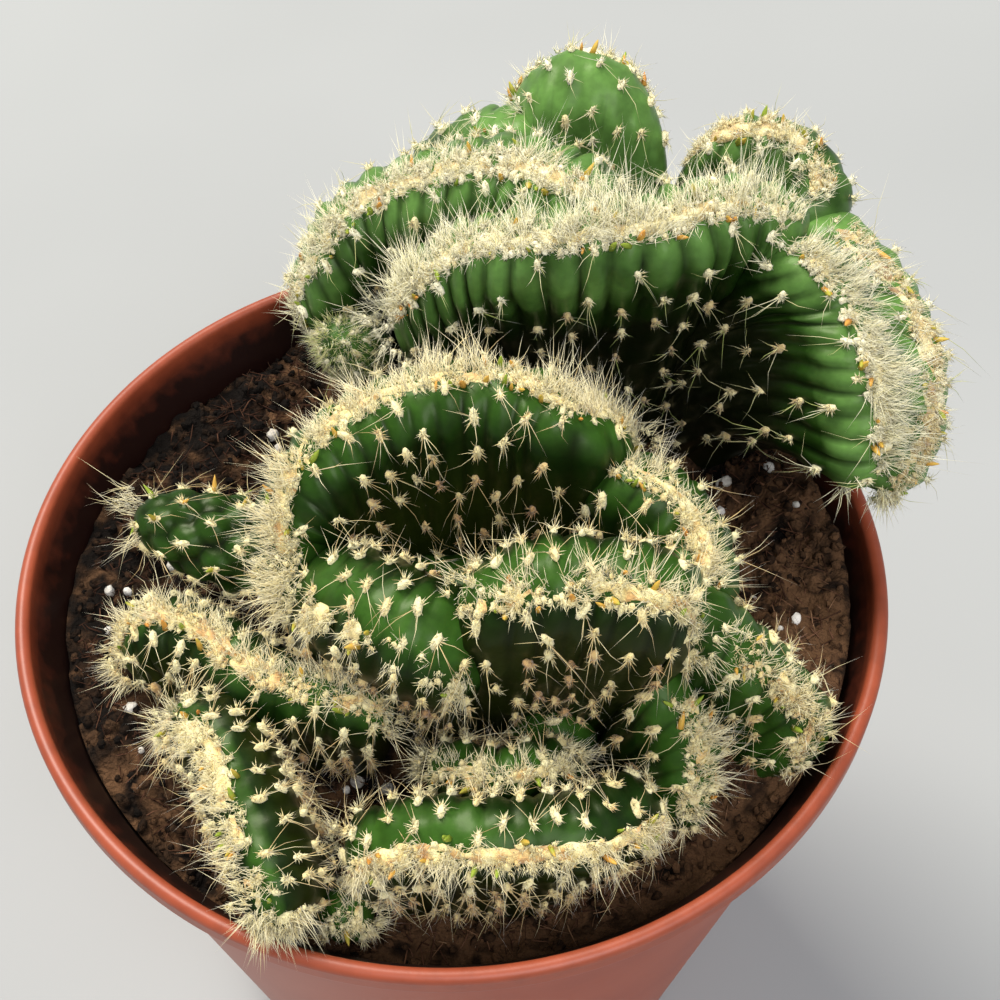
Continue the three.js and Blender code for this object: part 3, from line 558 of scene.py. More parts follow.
def skin_grid(f):
    """The plain skin before ribs: points, outward ways, and the signed distance over the
    surface from the crest line, less than 0 in front."""
    line = spine_of(f, SKIN_STEP)
    reach = np.linalg.norm(line["lip"] - line["foot"], axis=1)
    levels = np.linspace(0, 1, max(8, round(reach.max() / LEVEL_STEP)))[:-1]
    turn = np.radians(np.linspace(-90, 90, 2 * round(np.pi * f["lip"] / LIP_STEP) + 1))
    ease = line["ease"][:, None, None]
    mid, side = centre(line, levels), side_of(line, levels)
    wall = side * half_thickness(f, levels)[:, None] * ease
    front = side_of(line, np.ones(1))
    over = around(line["rise"][:, None], -front, turn)
    points = np.concatenate([mid + wall, line["lip"][:, None] + over * f["lip"] * ease,
                             (mid - wall)[:, ::-1]], axis=1)
    out = np.concatenate([side, over, -side[:, ::-1]], axis=1)
    fall = f["lip"] * np.pi / 2 + (1 - levels) * reach[:, None]
    bend = np.broadcast_to(turn * f["lip"], over.shape[:2])
    line["front"] = front[:, 0]
    return line, points, out, np.concatenate([-fall, bend, fall[:, ::-1]], axis=1)


# %% [markdown]
# Areoles sit in staggered rows on the ribs on both faces, so each one needs a
# place and three directions: along the crest, up the face and out of it. A
# spot that lies inside a neighbouring fan is left out. To find that, every
# fan is also kept as a cloud of balls that fill it.

# %% Where flesh already is
BALL_STEP, BALL_LEVELS, POINTS_AT_ONCE = 1.5, 24, 2000


def fan_balls(f):
    """Ball centres and radii that fill one fan."""
    line = spine_of(f, BALL_STEP)
    levels = np.linspace(0.05, 1, BALL_LEVELS)
    radius = half_thickness(f, levels) * line["ease"][:, None]
    return centre(line, levels).reshape(-1, 3), radius.ravel()


BALLS = {name: fan_balls(f) for name, f in FANS.items()}


def is_buried(points, owner, margin):
    """True for each point within margin of the flesh of a fan other than the owner."""
    hit = np.zeros(len(points), bool)
    for mids, radii in (balls for name, balls in BALLS.items() if name != owner):
        reach = radii.max() + margin
        close = (points > mids.min(0) - reach) & (points < mids.max(0) + reach)
        near = np.flatnonzero(~hit & close.all(1))
        for part in np.array_split(near, len(near) // POINTS_AT_ONCE + 1):
            gap = np.linalg.norm(points[part, None] - mids, axis=2) - radii
            hit[part] = gap.min(1) < margin
    return hit


def landed(points, way, steps=12, within=15):
    """Points moved against way until they touch the flesh: at each step by the distance
    to the nearest ball."""
    mids, radii = (np.concatenate(v) for v in zip(*BALLS.values()))
    near = np.linalg.norm(mids - points.mean(0), axis=1) < radii + within
    for _ in range(steps):
        gap = (np.linalg.norm(points[:, None] - mids[near], axis=2) - radii[near]).min(1)
        points = points - way * gap[:, None]
    return points


print("balls:", sum(len(radii) for _, radii in BALLS.values()))


# %% [markdown]
# The ribs of this plant are rounded swellings with sharp grooves between
# them. Near the crest they are deep, and they fade towards the foot. Each
# areole stands on a low bump of its own.

# %% Ribbed skin of a fan with its areoles
WOOL_HALF, AREOLE_ROWS, RIB_SHARPNESS = 1.4, 12, 0.6
KNOLL_WIDE, KNOLL_HIGH, KNOLL_RISE, KNOLL_REACH = 1.3, 1.9, 0.35, 4
REAR_SEED, FRONT_SEED, BAND_SEED = 100, 400, 900


def chosen(table, keep):
    """The entries of a table of arrays that are kept."""
    return {key: values[keep] for key, values in table.items()}


def joined(tables):
    """Several tables of arrays as one."""
    return {key: np.concatenate([table[key] for table in tables]) for key in tables[0]}


def facing(ways, toward):
    """Unit directions, each turned round if it points away from the one given for it."""
    return unit(ways * np.sign((ways * toward).sum(1, keepdims=True)))


def areole_spots(f, line, seed):
    """Distance along and signed depth of every areole: staggered rows on both faces."""
    rng = np.random.default_rng(seed)
    ribs = max(2, round(line["total"] / f["rib"]))
    middle, half = (0, 0) if f["wool"] is None else (math.radians(f["wool"]) * f["lip"], WOOL_HALF)
    i, j, way = np.meshgrid(np.arange(ribs), np.arange(AREOLE_ROWS), [-1, 1], indexing="ij")
    along = (i + 0.5) / ribs * line["total"] + rng.normal(0, 0.35, i.shape)
    row = half + 0.9 + f["row"] * (j + 0.5 * (i % 2)) + rng.normal(0, 0.4, i.shape)
    return along.ravel(), (middle + way * row).ravel(), ribs


def well_apart(spots, usable, order, gap):
    """Keeps the usable spots nearest to the crest, and drops any within the gap of a kept one."""
    keep = np.zeros(len(spots), bool)
    for i in np.argsort(order):
        if usable[i] and not (np.linalg.norm(spots[keep] - spots[i], axis=1) < gap).any():
            keep[i] = True
    return keep


def closed_sheet(points):
    """Faces of a sheet of sections (n, m, 3): round each section, and a cap over each end."""
    n, m = points.shape[:2]
    index, _, quads = tube(n, m)
    low, top = np.arange(m // 2 - 1), slice(m // 2 - 1, m // 2 + 2)
    across = np.stack([low, low + 1, m - 2 - low, m - 1 - low], -1)
    caps = [index[0][across], index[-1][across][:, ::-1]]
    tips = np.array([index[0, top], index[-1, top][::-1]])
    return turned_out(points.reshape(-1, 3), [np.concatenate([quads, *caps]), tips])


def crest_fan(name, f, seed):
    """The finished skin of one fan as a shape, its areoles and its crest line."""
    line, points, out, depth = skin_grid(f)
    along, down, ribs = areole_spots(f, line, seed)
    runs, total, ease = line["runs"][:, None], line["total"], line["ease"][:, None]
    span = np.abs(depth)
    phase = runs / total * ribs + 0.12 * lumps(runs, depth, 7, seed + 1)
    rib = np.abs(np.sin(np.pi * phase)) ** RIB_SHARPNESS
    strength = smooth_step(0.3, 3.5, span) * (1 - 0.75 * smooth_step(9, 28, span)) * ease
    knoll = np.zeros_like(depth)
    for s, d in zip(along, down):
        near = np.abs(line["runs"] - s) < KNOLL_REACH
        away = ((runs[near] - s) / KNOLL_WIDE) ** 2 + ((depth[near] - d) / KNOLL_HIGH) ** 2
        knoll[near] = np.maximum(knoll[near], np.exp(-away))
    uneven = 0.35 * lumps(runs, depth, 9, seed + 2) + 0.15 * lumps(runs, depth, 3.5, seed + 3)
    swell = 1.3 * f["depth"] * strength * (rib - 0.75) + (KNOLL_RISE * knoll + uneven) * ease
    points = points + out * swell[..., None]

    k = np.clip(np.searchsorted(line["runs"], along), 1, len(points) - 2)
    j = np.clip(np.abs(depth[k] - down[:, None]).argmin(1), 1, points.shape[1] - 2)
    place, deep = points[k, j], span[k, j]
    forward = unit(points[k + 1, j] - points[k - 1, j])
    normal = facing(np.cross(forward, points[k, j + 1] - points[k, j - 1]), out[k, j])
    upward = facing(np.cross(normal, forward), (line["lip"] - line["foot"])[k])
    keep = (np.abs(depth[k, j] - down) < 1.5) & (np.minimum(along, total - along) > 0.8)
    keep &= place[:, 2] > SOIL_LEVEL + 2 + banked(place[:, 0], place[:, 1])
    keep &= ~is_buried(place, name, 0.5)
    keep &= well_apart(place, keep, deep, 0.62 * f["row"])
    areoles = {"at": place, "out": normal, "up": upward, "along": forward,
               "old": smooth_step(3, 16, deep)}

    # Painted shade: tone drops in the grooves between the ribs, and the skin darkens there to its
    # groove colour.
    tone = 1 - 0.85 * min(1, f["depth"] / 0.35) * strength * (1 - rib)
    # The skin darkens from the crest towards the foot, partly with ageing and partly as painted
    # shade.
    age_and_shade = smooth_step(0, f["ripe"], span) + 0.15 * lumps(runs, depth, 12, seed + 4)
    skin = shape(points.reshape(-1, 3), closed_sheet(points), 0, tone.ravel(),
                 np.clip(age_and_shade, 0, 1).ravel())
    return skin, chosen(areoles, keep), line


def crest(tables, seed):
    """The finished fans of one crest, and the areoles of all of them in one table."""
    fans = {name: crest_fan(name, f, seed + 10 * i) for i, (name, f) in enumerate(tables.items())}
    return fans, joined([areoles for _, areoles, _ in fans.values()])


rear_fans, rear_areoles = crest(REAR, REAR_SEED)
front_fans, front_areoles = crest(FRONT, FRONT_SEED)
print("areoles on the fans:", len(rear_areoles["at"]), len(front_areoles["at"]))


# %% [markdown]
# Two young shoots stand beside the fans: an egg-shaped one on the left and a
# small fuzzy bud behind it. They are surfaces of revolution with a bump under
# each areole. Going round, the areoles follow the golden angle, as leaves do
# on most stems.

# %% Young shoots
GOLDEN_ANGLE = np.pi * (3 - np.sqrt(5))


def oval(s):
    """Radius at the share s of the length: constant, then half an ellipse to the tip."""
    return np.sqrt(np.maximum(1 - (2 * np.maximum(s, 0.5) - 1) ** 2, 0))


def young_shoot(root, tip, radius, count, first):
    """The skin of a shoot, and its areoles from the share first of its length to the tip."""
    root, tip = np.array(root, float), np.array(tip, float)
    length, axis = np.linalg.norm(tip - root), unit(tip - root)
    across = unit(np.cross((0, 0, 1), axis))
    over = np.cross(axis, across)
    s = np.concatenate([np.linspace(0.02, 0.4, 12), np.linspace(0.42, 1, 40) ** 0.9])
    angle, wide = turns(48), radius * np.maximum(oval(s), 0.02)
    number = np.arange(count)
    spot_s, spot_turn = first + (0.97 - first) * (number + 0.5) / count, number * GOLDEN_ANGLE
    gap = np.angle(np.exp(1j * (angle[:, None] - spot_turn))) * wide[:, None, None]
    away = np.hypot(gap, (s[:, None, None] - spot_s) * length) / (0.56 * radius)
    knoll = np.maximum(1 - away ** 2, 0).max(2)
    rings = ((root + axis * (s * length)[:, None])[:, None]
             + around(across, over, angle) * (wide[:, None] * (0.76 + 0.36 * knoll))[..., None])
    points, faces = closed_rings(rings, rings[0].mean(0), rings[-1].mean(0) + axis * 0.1)
    spot_wide, spot_ring = radius * oval(spot_s), around(across, over, spot_turn)
    tilt = np.maximum(2 * spot_s - 1, 0) * 2 * radius ** 2 / length / np.maximum(spot_wide, 1)
    out = unit(spot_ring + axis * np.minimum(tilt, 2.5)[:, None])
    place = root + axis * (spot_s * length)[:, None] + spot_ring * (1.1 * spot_wide)[:, None]
    along = unit(np.cross(out, axis))
    areoles = {"at": place, "out": out, "up": unit(np.cross(along, out)), "along": along,
               "old": np.zeros(count)}
    # Painted shade: tone is low between the bumps, and the skin darkens there to its groove colour.
    tone = np.append(np.clip(1.4 * knoll - 0.3, 0, 1), [0.5, 0.5])
    return shape(points, faces, 0, tone, 0.12), chosen(areoles, ~is_buried(place, None, 0.4))


BUD = (-9, 31, 96), (-15, 23, 106), 4.0
side_shoot, side_areoles = young_shoot((-13, -4, 94), (-38, 3, 97), 5.3, 30, 0.36)
fuzzy_bud, bud_areoles = young_shoot(*BUD, 44, 0.45)
_, bud_down = young_shoot(*BUD, 170, 0.45)
print("areoles on the shoots:", len(side_areoles["at"]), len(bud_areoles["at"]))

for solid, fans, shoot, skin in (("rear_crest", rear_fans, fuzzy_bud, skin_rear),
                                 ("front_crest", front_fans, side_shoot, front_skin_in_painted_shade)):
    shapes = [fan_skin for fan_skin, _, _ in fans.values()] + [shoot]
    make_piece(solid + "_skin", shapes, [skin], [solid])


# %% [markdown]
# Thousands of tufts, hairs and spines are copies of a few small forms. A form
# is carried to every place at once: its points are multiplied by the three
# directions of each place and by a size. A hair is a thin three-sided needle,
# bent once, so it costs ten triangles, or four when it is short and straight.

# %% Copies of small forms
STRAIGHT = [np.array([(0, 2, 1), (0, 1, 3), (1, 2, 3), (2, 0, 3)])]
BENT = [np.array([(0, 2, 1), (3, 4, 6), (4, 5, 6), (5, 3, 6)]),
        np.array([(0, 1, 4, 3), (1, 2, 5, 4), (2, 0, 3, 5)])]
HAIR_RADIUS, SPINE_RADIUS, FUZZ_RADIUS, TUFT_FUZZ_RADIUS = 0.05, 0.042, 0.066, 0.085


def repeated(points, forms, tone, finish):
    """Points of many copies (count, n, 3) as a shape: each copy has the faces of the form."""
    count, n = points.shape[:2]
    starts = (np.arange(count) * n)[:, None, None]
    faces = [(f + starts).reshape(-1, f.shape[1]) for f in forms]
    return shape(points.reshape(-1, 3), faces, finish, np.repeat(tone, n))


def copies(form, at, axes, size, tone, rng, rough, finish=0):
    """Carries a form to each place: at + sum of x_i * axis_i * size_i, with its points
    moved at random by the share rough."""
    points, faces = form
    local = points * (1 + rough * rng.uniform(-1, 1, (len(at), len(points), 1))) * size[:, None]
    carried = np.einsum("cnk,ckd->cnd", local, np.stack(axes, 1))
    return repeated(at[:, None] + carried, faces, tone, finish)


def needles(at, way, length, radius, tone, rng, sag=None, finish=0):
    """Three-sided needles: at + way * length * t + sag * t^2, narrowing to a point. One
    without sag has no waist."""
    across = unit(np.cross(np.where(np.abs(way[:, 2:]) < 0.9, (0, 0, 1), (1, 0, 0)), way))
    turn = rng.uniform(0, 2 * np.pi, len(at))[:, None] + turns(3)
    ring = around(across[:, None], np.cross(way, across)[:, None], turn)
    ring *= np.broadcast_to(radius, len(at))[:, None, None]
    reach, waist = way * length[:, None], []
    if sag is not None:
        waist = [(at + reach * 0.5 + sag * 0.25)[:, None] + ring * 0.75]
    tip = at + reach + (0 if sag is None else sag)
    points = np.concatenate([at[:, None] + ring, *waist, tip[:, None]], 1)
    return repeated(points, BENT if waist else STRAIGHT, tone, finish)


def heap(sides, *levels):
    """A closed heap of felt. Its levels are ovals of a height, width, length and shift up
    the face, twisted a little against each other and closed by two points."""
    angle = turns(sides)
    rings = [np.column_stack([w * np.cos(angle + 0.5 * k), l * np.sin(angle + 0.5 * k) + y,
                              np.full(sides, h)]) for k, (h, w, l, y) in enumerate(levels)]
    low, high = levels[0], levels[-1]
    return closed_rings(np.array(rings), (0, 0, low[0]), (0, 1.3 * high[3], high[0] + 0.2))


PUFF = heap(5, (-0.3, 1, 1, 0), (0.55, 0.75, 0.75, 0))
TUFT = heap(6, (-0.2, 0.75, 0.9, -0.1), (0.25, 0.7, 1, 0.05), (0.7, 0.35, 0.55, 0.3))
LEAF = heap(5, (-0.3, 1, 1, 0), (0.4, 0.75, 0.75, 0), (0.8, 0.35, 0.35, 0))


def scattered(rng, way, spread):
    """Directions near the given ones: unit(way + spread * a random vector)."""
    return unit(way + spread * rng.normal(0, 1, way.shape))


# %% [markdown]
# An areole on the faces is an oval cream tuft about 1.6 mm long. From it two
# to six pale spines, 2 to 6 mm long, point down and aside. The tuft is a small
# heap under a coat of short fuzz, because wool has no clean outline.

# %% Areoles with their spines
TUFT_SIZE = np.array([0.56, 0.85, 0.66])
TUFT_FUZZ, CROWN_FUZZ, BAND_FUZZ, HAIRS_EACH = 24, 10, 13, 6


def wisps(rng, place, along, up, way, length, each=HAIRS_EACH, bent=0.35, tones=(0.35, 1.0),
          curl=0.15):
    """Hairs that start within half a millimetre and end near one tip, as damp hair does."""
    on = np.repeat(np.arange(len(place)), each)
    one = len(on), 1
    foot = place[on] + along[on] * rng.normal(0, 0.35, one) + up[on] * rng.normal(0, 0.35, one)
    tip = place[on] + (way[on] + rng.normal(0, 0.19, foot.shape)) * length[on, None]
    reach = (tip - foot) * rng.uniform(0.35, 1.15, one)
    clear = ~in_pot_wall(foot + reach)
    bends = rng.random(len(on)) < bent
    shapes = []
    for some, is_bent in ((clear & ~bends, False), (clear & bends, True)):
        size = np.linalg.norm(reach[some], axis=1)
        sag = rng.normal(0, curl, (len(size), 3)) * size[:, None]
        tone = rng.uniform(*tones, len(size))
        shapes.append(needles(foot[some], unit(reach[some]), size, HAIR_RADIUS, tone, rng,
                              sag if is_bent else None, finish=1))
    return shapes


def areole_shapes(a, rng, size=1.0, spines=4, reach=1.0):
    """Felt tufts, their short fuzz and their spines, as three shapes."""
    at, out, up, along = a["at"], a["out"], a["up"], a["along"]
    count = len(at)
    upright = unit(up + 0.25 * rng.normal(0, 1, (count, 1)) * along)
    scale = size * rng.uniform(0.7, 1.25, (count, 1)) * TUFT_SIZE
    tone = rng.uniform(0.4, 0.85, count) - 0.45 * a["old"]
    tufts = copies(TUFT, at - out * 0.05, (along, upright, out), scale, tone, rng, 0.13)

    on = np.repeat(np.arange(count), TUFT_FUZZ)
    angle = rng.uniform(0, 2 * np.pi, (len(on), 1))
    rim = along[on] * np.cos(angle) * 0.5 + up[on] * np.sin(angle) * 0.8
    way = scattered(rng, 0.6 * out[on] + rim, 0.3)
    foot = at[on] + out[on] * rng.uniform(0.0, 0.4, (len(on), 1)) + rim * 0.6 * scale[on, 1:2]
    length = size * rng.uniform(0.4, 1.15, len(on))
    fuzz_tone = tone[on] + rng.normal(0, 0.12, len(on))
    fuzz = needles(foot, way, length, TUFT_FUZZ_RADIUS * size, fuzz_tone, rng)

    on = np.repeat(np.arange(count), rng.integers(max(1, spines - 2), spines + 2, count))
    aside = rng.uniform(-1, 1, len(on))[:, None]
    down = np.where(rng.random(len(on)) < 0.78, -0.9, 0.7)[:, None]
    way = scattered(rng, out[on] * 0.5 + up[on] * down + along[on] * aside * 0.9, 0.2)
    length = reach * rng.uniform(1.8, 6.5, len(on)) * np.where(down[:, 0] < 0, 1, 0.75)
    sag = (rng.normal(0, 0.2, way.shape) - out[on] * 0.12) * length[:, None]
    clear = ~in_pot_wall(at[on] + way * length[:, None] + sag)
    on, way, length, sag = on[clear], way[clear], length[clear], sag[clear]
    tone = rng.uniform(-0.1, 0.6, len(on)) - 0.2 * a["old"][on]
    foot = at[on] + out[on] * 0.3
    return [tufts, fuzz, needles(foot, way, length, SPINE_RADIUS, tone, rng, sag, finish=1)]


def leaf_cones(rng, place, out, long, ripest):
    """Soft cones about 1.5 mm long that stand nearly square to the skin."""
    way = scattered(rng, out, 0.35)
    size = rng.uniform(0.6, 1.2, (len(place), 1)) * (0.36, 0.36, long)
    tone = rng.uniform(-0.1, ripest, len(place))
    return copies(LEAF, place, (*square_to(way), way), size, tone, rng, 0.05, finish=2)


def bunch(rng, at, way, count, length, width, tones=(0.35, 1.0), bent=0.6, curl=0.15, spread=0.24):
    """Wisps that spread from a round patch of skin."""
    way = unit(np.array(way, float))
    spots = at + rng.normal(0, width / 2, (count, 3)) * (1 - 0.7 * np.abs(way))
    ways = scattered(rng, way + 0.25 * (spots - at), spread)
    lengths = length * rng.uniform(0.6, 1.2, count)
    return wisps(rng, spots, *square_to(ways), ways, lengths, bent=bent, tones=tones, curl=curl)


def crown(rng, at, way, count, width, length):
    """A thick tuft on the flesh where it meets a line through at: felt heaps, fuzz and wisps."""
    way = unit(np.array(way, float))
    side, over = square_to(way)
    spread = rng.normal(0, width / 2, (count, 2))
    aside = spread[:, :1] * side + spread[:, 1:] * over
    place = landed(at + way * 6 + aside, way)
    out = scattered(rng, way + aside * 0.9 / width, 0.15)
    along = unit(np.cross(out, side))
    up = np.cross(out, along)
    size = rng.uniform(0.2, 0.42, (count, 1)) * rng.uniform(0.8, 1.2, (count, 3))
    tone = rng.uniform(0.35, 0.9, count)
    heaps = copies(PUFF, place, (along, up, out), size, tone, rng, 0.25)
    on = np.repeat(np.arange(count), CROWN_FUZZ)
    foot = place[on] + 0.25 * rng.normal(0, 1, (len(on), 3))
    way = scattered(rng, out[on], 0.7)
    fuzz = needles(foot, way, rng.uniform(0.5, 1.7, len(on)), FUZZ_RADIUS, tone[on], rng)
    lengths = length * rng.uniform(0.4, 1.2, count)
    return [heaps, fuzz] + wisps(rng, place, along, up, out, lengths, each=4, bent=0.6)


rng = np.random.default_rng(20)
green = -0.25, 0.2
bud_hairs = wisps(rng, *(bud_down[key] for key in ("at", "along", "up", "out")),
                  rng.uniform(1.2, 2.2, len(bud_down["at"])), each=9, bent=0.2, tones=green)
make_piece("rear_crest_areoles", areole_shapes(rear_areoles, rng)
           + areole_shapes(bud_areoles, rng, 0.8, 4, 0.5) + bud_hairs
           + bunch(rng, (-14.8, 23.2, 105.7), (-0.42, -0.56, 0.7), 40, 1.6, 2.6, green)
           + bunch(rng, (9, 41, 126), (-0.8, -0.3, 0.5), 14, 3.2, 2.5),
           [wool_rear, hair_rear])
leafy = rng.random(len(side_areoles["at"])) < 0.35
side_leaves = leaf_cones(rng, side_areoles["at"][leafy], side_areoles["out"][leafy], 1.9, 0.5)
make_piece("front_crest_areoles", areole_shapes(front_areoles, rng, 1.08, 5)
           + areole_shapes(side_areoles, rng, 1.0, 6, 1.0) + [side_leaves]
           + bunch(rng, (-37.5, 3, 97), (-1, -0.15, 0), 22, 4.8, 4.0, bent=1, curl=0.3, spread=0.42)
           + crown(rng, (-18, -12.3, 104.5), (-0.7, -0.5, 0.5), 70, 3.6, 4.6),
           [wool_front, hair_front, leaf])


# %% [markdown]
# Along each crest line the areoles are so close that their wool runs together
# into a cream band three or four millimetres wide, with a fringe of fine
# white hairs on both sides. It is built as the eye reads it: a lumpy strip on
# the lip, heaps of felt on the strip, short fuzz on the heaps, long hairs over
# all of it, and a few orange leaf cones along the front edge.

# %% Bands of wool
HEAPS_PER_MM, LEAF_SPACING, STRIP_STEP, STRIP_SIDES = 2.7, 2.5, 0.4, 9


def at_runs(line, key, runs):
    """What the line holds at distances along it."""
    return np.stack([np.interp(runs, line["runs"], values) for values in line[key].T], -1)


def on_lip(f, line, runs, degrees, height):
    """Places on the lip at distances along the line, angles and heights over the skin,
    with the outward way, the way along and the way to the back."""
    rise, front = unit(at_runs(line, "rise", runs)), unit(at_runs(line, "front", runs))
    turn = np.radians(degrees)
    out, back = around(rise, -front, turn), around(-front, -rise, turn)
    high = f["lip"] * end_ease(f, runs, line["total"]) + height
    return at_runs(line, "lip", runs) + out * high[..., None], out, unit(np.cross(back, out)), back


def parted(f, runs, seed):
    """How far the felt is missing at each distance along the line, from 0 to 1."""
    return f["clump"] * smooth_step(0.15, -0.25, lumps(runs, 0, 2.6, seed + 3))


def wool_strip(name, f, line, seed):
    """A closed lumpy strip: its section is a low arch, its height follows lumps of 1.6 and
    0.75 mm, and it dips under the skin at its ends, near other fans and where it is parted."""
    total = line["total"]
    middle = np.linspace(STRIP_STEP, total - STRIP_STEP, max(8, round(total / STRIP_STEP)))
    runs, side = np.meshgrid(middle, np.linspace(-1, 1, STRIP_SIDES), indexing="ij")
    ridge, *_ = on_lip(f, line, middle, f["wool"], 0)
    sunk = is_buried(ridge, name, 0.8) | (np.minimum(middle, total - middle) < 0.5 * f["lip"])
    grains = lumps(runs, side * 2, 1.6, seed) + 0.8 * lumps(runs, side * 2, 0.75, seed + 6)
    pile = (0.5 * np.sqrt(1 - (0.96 * side) ** 2) * (1 + 0.75 * grains) - 0.15
            - 1.2 * np.maximum(parted(f, runs, seed), sunk[:, None]))
    wide = (0.75 * f["spread"] + 0.25 * lumps(runs, 0, 2.3, seed + 1)
            + 0.4 * lumps(runs, 9 * np.sign(side), 1.2, seed + 7))
    degrees = f["wool"] + np.degrees(wide / f["lip"]) * side
    upper, *_ = on_lip(f, line, runs, degrees, np.maximum(pile, -0.7))
    under, *_ = on_lip(f, line, runs, degrees, -0.9)
    rings = np.concatenate([upper, under[:, ::-1]], 1)
    points, faces = closed_rings(rings, rings[0].mean(0), rings[-1].mean(0))
    tone = 0.4 - f["dull"] + 0.4 * lumps(points[:, 0], points[:, 1] + points[:, 2], 1.1, seed + 2)
    return shape(points, faces, 0, tone)


def wool_band(name, f, line, seed):
    """Strip, felt heaps, fuzz, wisps of hair and leaf cones of one crest line."""
    rng = np.random.default_rng(seed)
    total, spread = line["total"], f["spread"]

    def free(place, out, margin):
        """True where a place is neither in another fan nor in the pot's wall."""
        return ~is_buried(place, name, margin) & ~in_pot_wall(place + out)

    def spots(end, aside, height, margin):
        """Random free places on the felt, fewer where it is parted, clear of both ends."""
        runs = rng.uniform(end, total - end, len(aside))
        found = on_lip(f, line, runs, f["wool"] + np.degrees(aside / f["lip"]), height)
        keep = free(*found[:2], margin) & (rng.random(len(runs)) > parted(f, runs, seed))
        return [v[keep] for v in (*found, aside, runs)]

    count = int(total * HEAPS_PER_MM * spread)
    in_front = rng.random(count) < 0.35
    aside = np.where(in_front, rng.normal(-0.8, 0.15, count), rng.uniform(-0.7, 1, count))
    *felt_spots, aside, _ = spots(0.5, aside * spread, 0.3, 0.3)
    ends = []
    for end, count in zip((0, -1), f["ends"]):
        middle = at_runs(line, "lip", abs(f["lip"] + end * total))
        toward = unit(line["lip"][end] - middle) + 0.5 * line["rise"][end]
        out = scattered(rng, np.tile(toward, (count, 1)), 0.4)
        place = middle + out * (f["lip"] + 0.15)
        keep = free(place, out, 0.4)
        ends.append([v[keep] for v in (place, out, *square_to(out))])
    place, out, along, back = (np.concatenate(v) for v in zip(felt_spots, *ends))
    count = len(place)
    size = rng.uniform(0.2, 0.46, (count, 1)) * rng.uniform(0.75, 1.25, (count, 3))
    size[:len(aside)][aside < -0.6 * spread, 1] *= 1.5
    tone = rng.uniform(0.35, 0.9, count) - f["dull"]
    heaps = copies(PUFF, place, (along, back, scattered(rng, out, 0.25)), size, tone, rng, 0.25)
    on = np.repeat(np.arange(count), BAND_FUZZ)
    way = scattered(rng, out[on] - 0.2 * back[on], 0.8)
    foot, length = place[on] + 0.25 * rng.normal(0, 1, way.shape), rng.uniform(0.4, 1.5, len(on))
    fuzz_tone = tone[on] + rng.normal(0.1, 0.12, len(on))
    fuzz = needles(foot, way, length, FUZZ_RADIUS, fuzz_tone, rng)

    count = int(total * f["fur"] / HAIRS_EACH)
    behind = rng.random(count) < 0.75
    aside = np.where(behind, rng.uniform(0, 1.3, count), rng.uniform(-0.9, 0, count)) * spread
    place, out, along, back, aside, runs = spots(0.3, aside if f["lean"] > 0 else -aside, 0.1, 0.2)
    count = len(place)
    lean = f["lean"] + 0.5 * aside / spread + 0.35 * rng.normal(0, 1, count)
    drift = along * rng.normal(0, 0.5, count)[:, None]
    way = scattered(rng, out + back * lean[:, None] + drift, 0.2)
    length = f["length"] * (0.4 + 0.9 * rng.random(count) ** 1.5)
    fur = wisps(rng, place, along, back, way, length * (1 + 0.6 * lumps(runs, 0, 2.4, seed + 5)))
    for place, out, along, back in ends:
        fur += wisps(rng, place, along, back, scattered(rng, out, 0.2),
                     f["length"] * rng.uniform(0.6, 1.4, len(place)), bent=0.5)

    count = max(1, int(total / LEAF_SPACING))
    aside = rng.choice([-1.1, -0.7, 0.6, 1.2], count, p=[0.55, 0.2, 0.1, 0.15]) * spread
    place, out, *_ = spots(1.5, aside, 0.45, 0.4)
    leaves = leaf_cones(rng, place, out, 1.35, 0.6)
    return [wool_strip(name, f, line, seed), heaps, fuzz, *fur, leaves]


for i, (name, (_, _, line)) in enumerate([*rear_fans.items(), *front_fans.items()]):
    if FANS[name]["wool"] is not None:
        finishes = [wool_rear, hair_rear, leaf] if name in REAR else [wool_front, hair_front, leaf]
        make_piece(f"wool_band_{name}", wool_band(name, FANS[name], line, BAND_SEED + i), finishes,
                   [f"wool_{name}"])


# %% [markdown]
# The soil is peat potting mix: dark crumbs, tan fibres and white grains of
# perlite. Its surface is a round grid lifted by several sizes of lumps, on a
# plain body that fills the pot. Crumbs, fibres and grains lie on it.

# %% Peat finish
def peat_mix(name, stops, scale, strength):
    """Crumbly matter: colour by noise of 1.4 to 3.3 mm and by tone, and a grain of 0.7 mm."""
    crumbly = new_finish(name)
    return finished(crumbly, ramp(crumbly, varied(crumbly, scale, 6.0, 0.7, "tone"), stops), 0.95,
                    Normal=bump(crumbly, noise(crumbly, 1400.0, 6.0), strength, 0.0014),
                    Specular_IOR_Level=0.2)


peat = peat_mix("damp peat", [(0.42, "#0F0905"), (0.62, "#2F2014"), (0.92, "#6A4D35")], 650.0, 0.9)
fibre = peat_mix("peat fibre", [(0.4, "#3E261A"), (0.75, "#7A5540"), (1.0, "#AD8866")], 300.0, 0.3)
perlite = peat_mix("perlite", [(0.4, "#A9A196"), (0.7, "#D9D4CA"), (1.0, "#F2EFE9")], 700.0, 0.5)


# %% [markdown]
# The top of the peat is uneven. It was pressed down round the stems and left
# higher along the wall, most of all on the right. A height function over a
# round grid gives that at little cost. Displacement in the finish would be
# finer, but it would be missing from the exported mesh.

# %% Soil surface
SOIL_RINGS, SOIL_SIDES, SOIL_BOTTOM = 84, 280, FLOOR + 0.4


def unit_circle(count):
    """Points on a circle of radius 1 round the z axis."""
    return around(np.array([1.0, 0, 0]), np.array([0, 1.0, 0]), turns(count))


